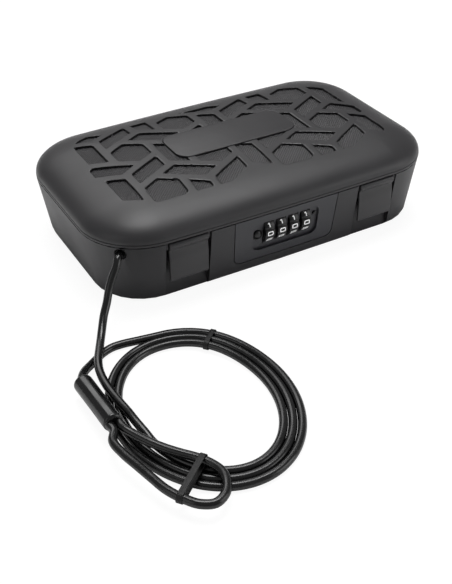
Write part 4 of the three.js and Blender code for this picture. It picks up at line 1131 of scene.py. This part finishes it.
class CARSAFE_OT_lock_panel(bpy.types.Operator):
    """Make the panel round the dials, the release button and the reset pin"""

    bl_idname = "car_safe.lock_panel"
    bl_label = "Lock panel"

    def execute(self, context):
        refined("lock_bezel", "lock_panel", "panel", 0.3, move=drawn_in)
        low, high = case_box("release_button")
        x, _, z = (low + high) / 2
        cap = [(0.3, -1.2), (1.3, -1.1), (2.1, -0.75), (2.6, -0.25), (2.78, 0.2), (2.8, 0.7), (2.8, 1.6)]
        cap += [(2.6, 1.8), (1.0, 1.85), (1.0, high[1] - low[1])]
        shape = turned(cap, (x, low[1], z), (0, 1, 0), 48)
        add_piece("release_knob", shape, "dial", "release_button", ("release_button",))
        # Painted shade: a dark glossy ring round the knob stands in for the shade in the gap round it, making
        # the dark patch there larger
        ring = [(3.05, -0.1), (3.3, -0.5), (3.8, -0.6), (4.2, -0.4), (4.35, 0), (4.35, 0.25), (3.05, 0.25)]
        shape = turned(ring, (x, -70.2, z), (0.02, 1, -0.1), 48, closed=True)
        add_piece("knob_collar", shape, "dial", "base")
        low, high = case_box("reset_pin")
        x, _, z = (low + high) / 2
        pin = [(0.2, -0.1), (0.8, -0.04), (1.1, 0.12), (1.2, 0.4), (1.2, high[1] - low[1])]
        shape = turned(pin, (x, low[1], z), (0, 1, 0), 36)
        add_piece("reset_plunger", shape, "dial", "reset_pin", ("reset_pin",))
        return {"FINISHED"}


class CARSAFE_OT_dials(bpy.types.Operator):
    """Make the four number dials with their printed numbers"""

    bl_idname = "car_safe.dials"
    bl_label = "Dials"

    def execute(self, context):
        for number in range(1, 5):
            dial = f"dial_{number}"
            low, high = case_box(dial)
            centre = ((low[0] + high[0]) / 2, *DIAL_AXIS)
            points, faces = dial_shape(DIAL_RADIUS, (high[0] - low[0]) / 2, *DIAL_GATE)
            add_piece(f"dial_wheel_{number}", (points + centre, faces), "dial", dial, (dial,), sharp=35)
            points, faces = digit_skins(DIAL_RADIUS)
            add_piece(f"dial_numbers_{number}", (points + centre, faces), "digits", dial, sharp=30)
        return {"FINISHED"}


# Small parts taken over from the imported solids: node, piece, material and width of the broken edges
LOCK_WORKS = (
    ("lock_frame", "lock_side_frame", "steel", 0.15),
    ("detent_spring", "detent_leaf", "steel", 0.08),
    ("striker", "striker_plate", "steel", 0.2),
    ("lock_bolt", "lock_slide", "zinc", 0.2),
    ("dial_spindle", "spindle", "steel", 0.15),
    *((f"dial_spacer_{number}", f"spacer_{number}", "steel", 0.1) for number in range(1, 6)),
    ("hinge_pin_left", "hinge_rod_left", "steel", 0.15),
    ("latch_pin_left", "latch_rod_left", "steel", 0.15),
    ("hinge_pin_right", "hinge_rod_right", "steel", 0.15),
    ("latch_pin_right", "latch_rod_right", "steel", 0.15),
    *((f"striker_screw_{number}", f"striker_fixing_{number}", "zinc", 0.2) for number in (1, 2)),
    *((f"lock_cover_screw_{number}", f"cover_fixing_{number}", "zinc", 0.2) for number in range(1, 5)),
)


class CARSAFE_OT_lock_works(bpy.types.Operator):
    """Refine the frame, spindle, spacers, bolt, striker, pins and screws"""

    bl_idname = "car_safe.lock_works"
    bl_label = "Lock works"

    def execute(self, context):
        for node, name, look, bevel in LOCK_WORKS:
            refined(node, name, look, bevel)
        return {"FINISHED"}


class CARSAFE_OT_liners(bpy.types.Operator):
    """Make the foam sheets inside the base and the lid"""

    bl_idname = "car_safe.liners"
    bl_label = "Liners"

    def execute(self, context):
        for node, name, body, corner in (
            ("base_liner", "base_foam", "base", 22), ("lid_liner", "lid_foam", "lid", 12)
        ):
            sheet = add_piece(name, block(*case_box(node), corner, 0.8, steps=12), "foam", body, (node,))
        return {"FINISHED"}


# Studio

# The photograph's camera: its place, and its axes to the right, up and backwards
CAMERA_SPOT = (-0.28265, -0.51401, 0.35409)
CAMERA_AXES = (
    (0.8735275, -0.48652157, -0.0156995),
    (0.29493774, 0.50333876, 0.81219568),
    (-0.38724855, -0.71410564, 0.58317382),
)
CAMERA_LENS, CAMERA_SENSOR = 60.55, 36
# Area lamps: name, place, aim, width, height and power
LAMPS = (
    ("overhead_softbox", (0.15, 0.15, 1.2), (0.15, 0.17, 0), 0.8, 0.45, 9),
    ("rear_softbox", (0.05, 1.0, 1.0), (0, 0, 0.05), 1.0, 0.5, 4.3),
    ("left_softbox", (-1.2, -0.3, 0.6), (0, 0, 0.03), 0.6, 0.9, 1.0),
    ("right_softbox", (1.1, -1.0, 0.5), (0, 0, 0.03), 0.8, 0.8, 4),
)
# The surround's light where the camera doesn't see it, and the floor's half side and glow to the camera
WORLD_LIGHT = 0.25
FLOOR_REACH, FLOOR_GLOW, FLOOR_GLOW_SHARE = 6.0, 1.08, 0.85


def set_up(name, data, spot, axes):
    """A camera or lamp at a place, turned to its three axes."""
    holder = bpy.data.objects.new(name, data)
    bpy.context.scene.collection.objects.link(holder)
    holder.matrix_world = Matrix.Translation(spot) @ Matrix(axes).transposed().to_4x4()
    return holder


class CARSAFE_OT_studio(bpy.types.Operator):
    """Set the camera, the lamps, the world and the floor"""

    bl_idname = "car_safe.studio"
    bl_label = "Studio"

    def execute(self, context):
        scene = context.scene
        camera = bpy.data.cameras.new("photo_camera")
        camera.lens, camera.sensor_width, camera.sensor_fit = CAMERA_LENS, CAMERA_SENSOR, "AUTO"
        camera.clip_start, camera.clip_end = 0.01, 50
        scene.camera = set_up("photo_camera", camera, CAMERA_SPOT, CAMERA_AXES)
        for name, spot, aim, width, height, power in LAMPS:
            lamp = bpy.data.lights.new(name, "AREA")
            lamp.shape, lamp.size, lamp.size_y, lamp.energy = "RECTANGLE", width, height, power
            away = unit(np.array(spot) - aim)
            side = unit(np.cross((0, 0, 1), away))
            set_up(name, lamp, spot, (side, np.cross(away, side), away))

        world = bpy.data.worlds.new("white_surround")
        scene.world = world
        world.use_nodes = True
        tree = world.node_tree
        tree.nodes.clear()
        rays = add_node(tree, "ShaderNodeLightPath").outputs
        seen = add_node(
            tree, "ShaderNodeMath", {0: rays["Is Camera Ray"], 1: rays["Is Transmission Ray"]},
            operation="MAXIMUM",
        )
        strength = ranged(tree, seen.outputs[0], WORLD_LIGHT, 1.0)
        light = add_node(tree, "ShaderNodeBackground", {"Color": (1, 1, 1, 1), "Strength": strength})
        add_node(tree, "ShaderNodeOutputWorld", {"Surface": light.outputs[0]})

        plane = bpy.data.meshes.new("studio_floor")
        corners = [(x * FLOOR_REACH, y * FLOOR_REACH, 0) for x, y in ((-1, -1), (1, -1), (1, 1), (-1, 1))]
        plane.from_pydata(corners, [], [(0, 1, 2, 3)])
        floor = bpy.data.objects.new("studio_floor", plane)
        floor_paint, tree = new_tree("studio_floor_paint")
        seen = add_node(tree, "ShaderNodeLightPath").outputs["Is Camera Ray"]
        paint = add_node(tree, "ShaderNodeBsdfDiffuse", {"Color": colour("floor")}).outputs[0]
        glow = add_node(tree, "ShaderNodeEmission", {"Strength": FLOOR_GLOW}).outputs[0]
        share = ranged(tree, seen, 0.0, FLOOR_GLOW_SHARE)
        finish_tree(tree, add_node(tree, "ShaderNodeMixShader", {0: share, 1: paint, 2: glow}))
        plane.materials.append(floor_paint)
        scene.collection.objects.link(floor)
        scene.view_settings.view_transform = "Standard"
        return {"FINISHED"}


class CARSAFE_PT_pieces(bpy.types.Panel):
    """Lists the sizes, the colours and the pieces"""

    bl_idname = "CARSAFE_PT_pieces"
    bl_label = "Car safe"
    bl_space_type = "VIEW_3D"
    bl_region_type = "UI"
    bl_category = "Car safe"

    def draw(self, context):
        layout = self.layout
        for group in (context.scene.car_safe_sizes, context.scene.car_safe_colours):
            column = layout.column(align=True)
            for name in group.__annotations__:
                column.prop(group, name)
        for operator in OPERATORS:
            layout.operator(operator.bl_idname)


OPERATORS = (
    CARSAFE_OT_studio, CARSAFE_OT_tether, CARSAFE_OT_lid, CARSAFE_OT_base, CARSAFE_OT_latches,
    CARSAFE_OT_lock_panel, CARSAFE_OT_dials, CARSAFE_OT_lock_works, CARSAFE_OT_liners,
)
CLASSES = (SafeSizes, SafeColours, *OPERATORS, CARSAFE_PT_pieces)


def register():
    for kind in CLASSES:
        bpy.utils.register_class(kind)
    bpy.types.Scene.car_safe_sizes = bpy.props.PointerProperty(type=SafeSizes)
    bpy.types.Scene.car_safe_colours = bpy.props.PointerProperty(type=SafeColours)


def unregister():
    del bpy.types.Scene.car_safe_colours
    del bpy.types.Scene.car_safe_sizes
    for kind in reversed(CLASSES):
        bpy.utils.unregister_class(kind)


def main():
    """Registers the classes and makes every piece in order."""
    register()
    bpy.ops.car_safe.studio()
    bpy.ops.car_safe.tether()
    bpy.ops.car_safe.lid()
    bpy.ops.car_safe.base()
    bpy.ops.car_safe.latches()
    bpy.ops.car_safe.lock_panel()
    bpy.ops.car_safe.dials()
    bpy.ops.car_safe.lock_works()
    bpy.ops.car_safe.liners()


if __name__ == "__main__":
    main()
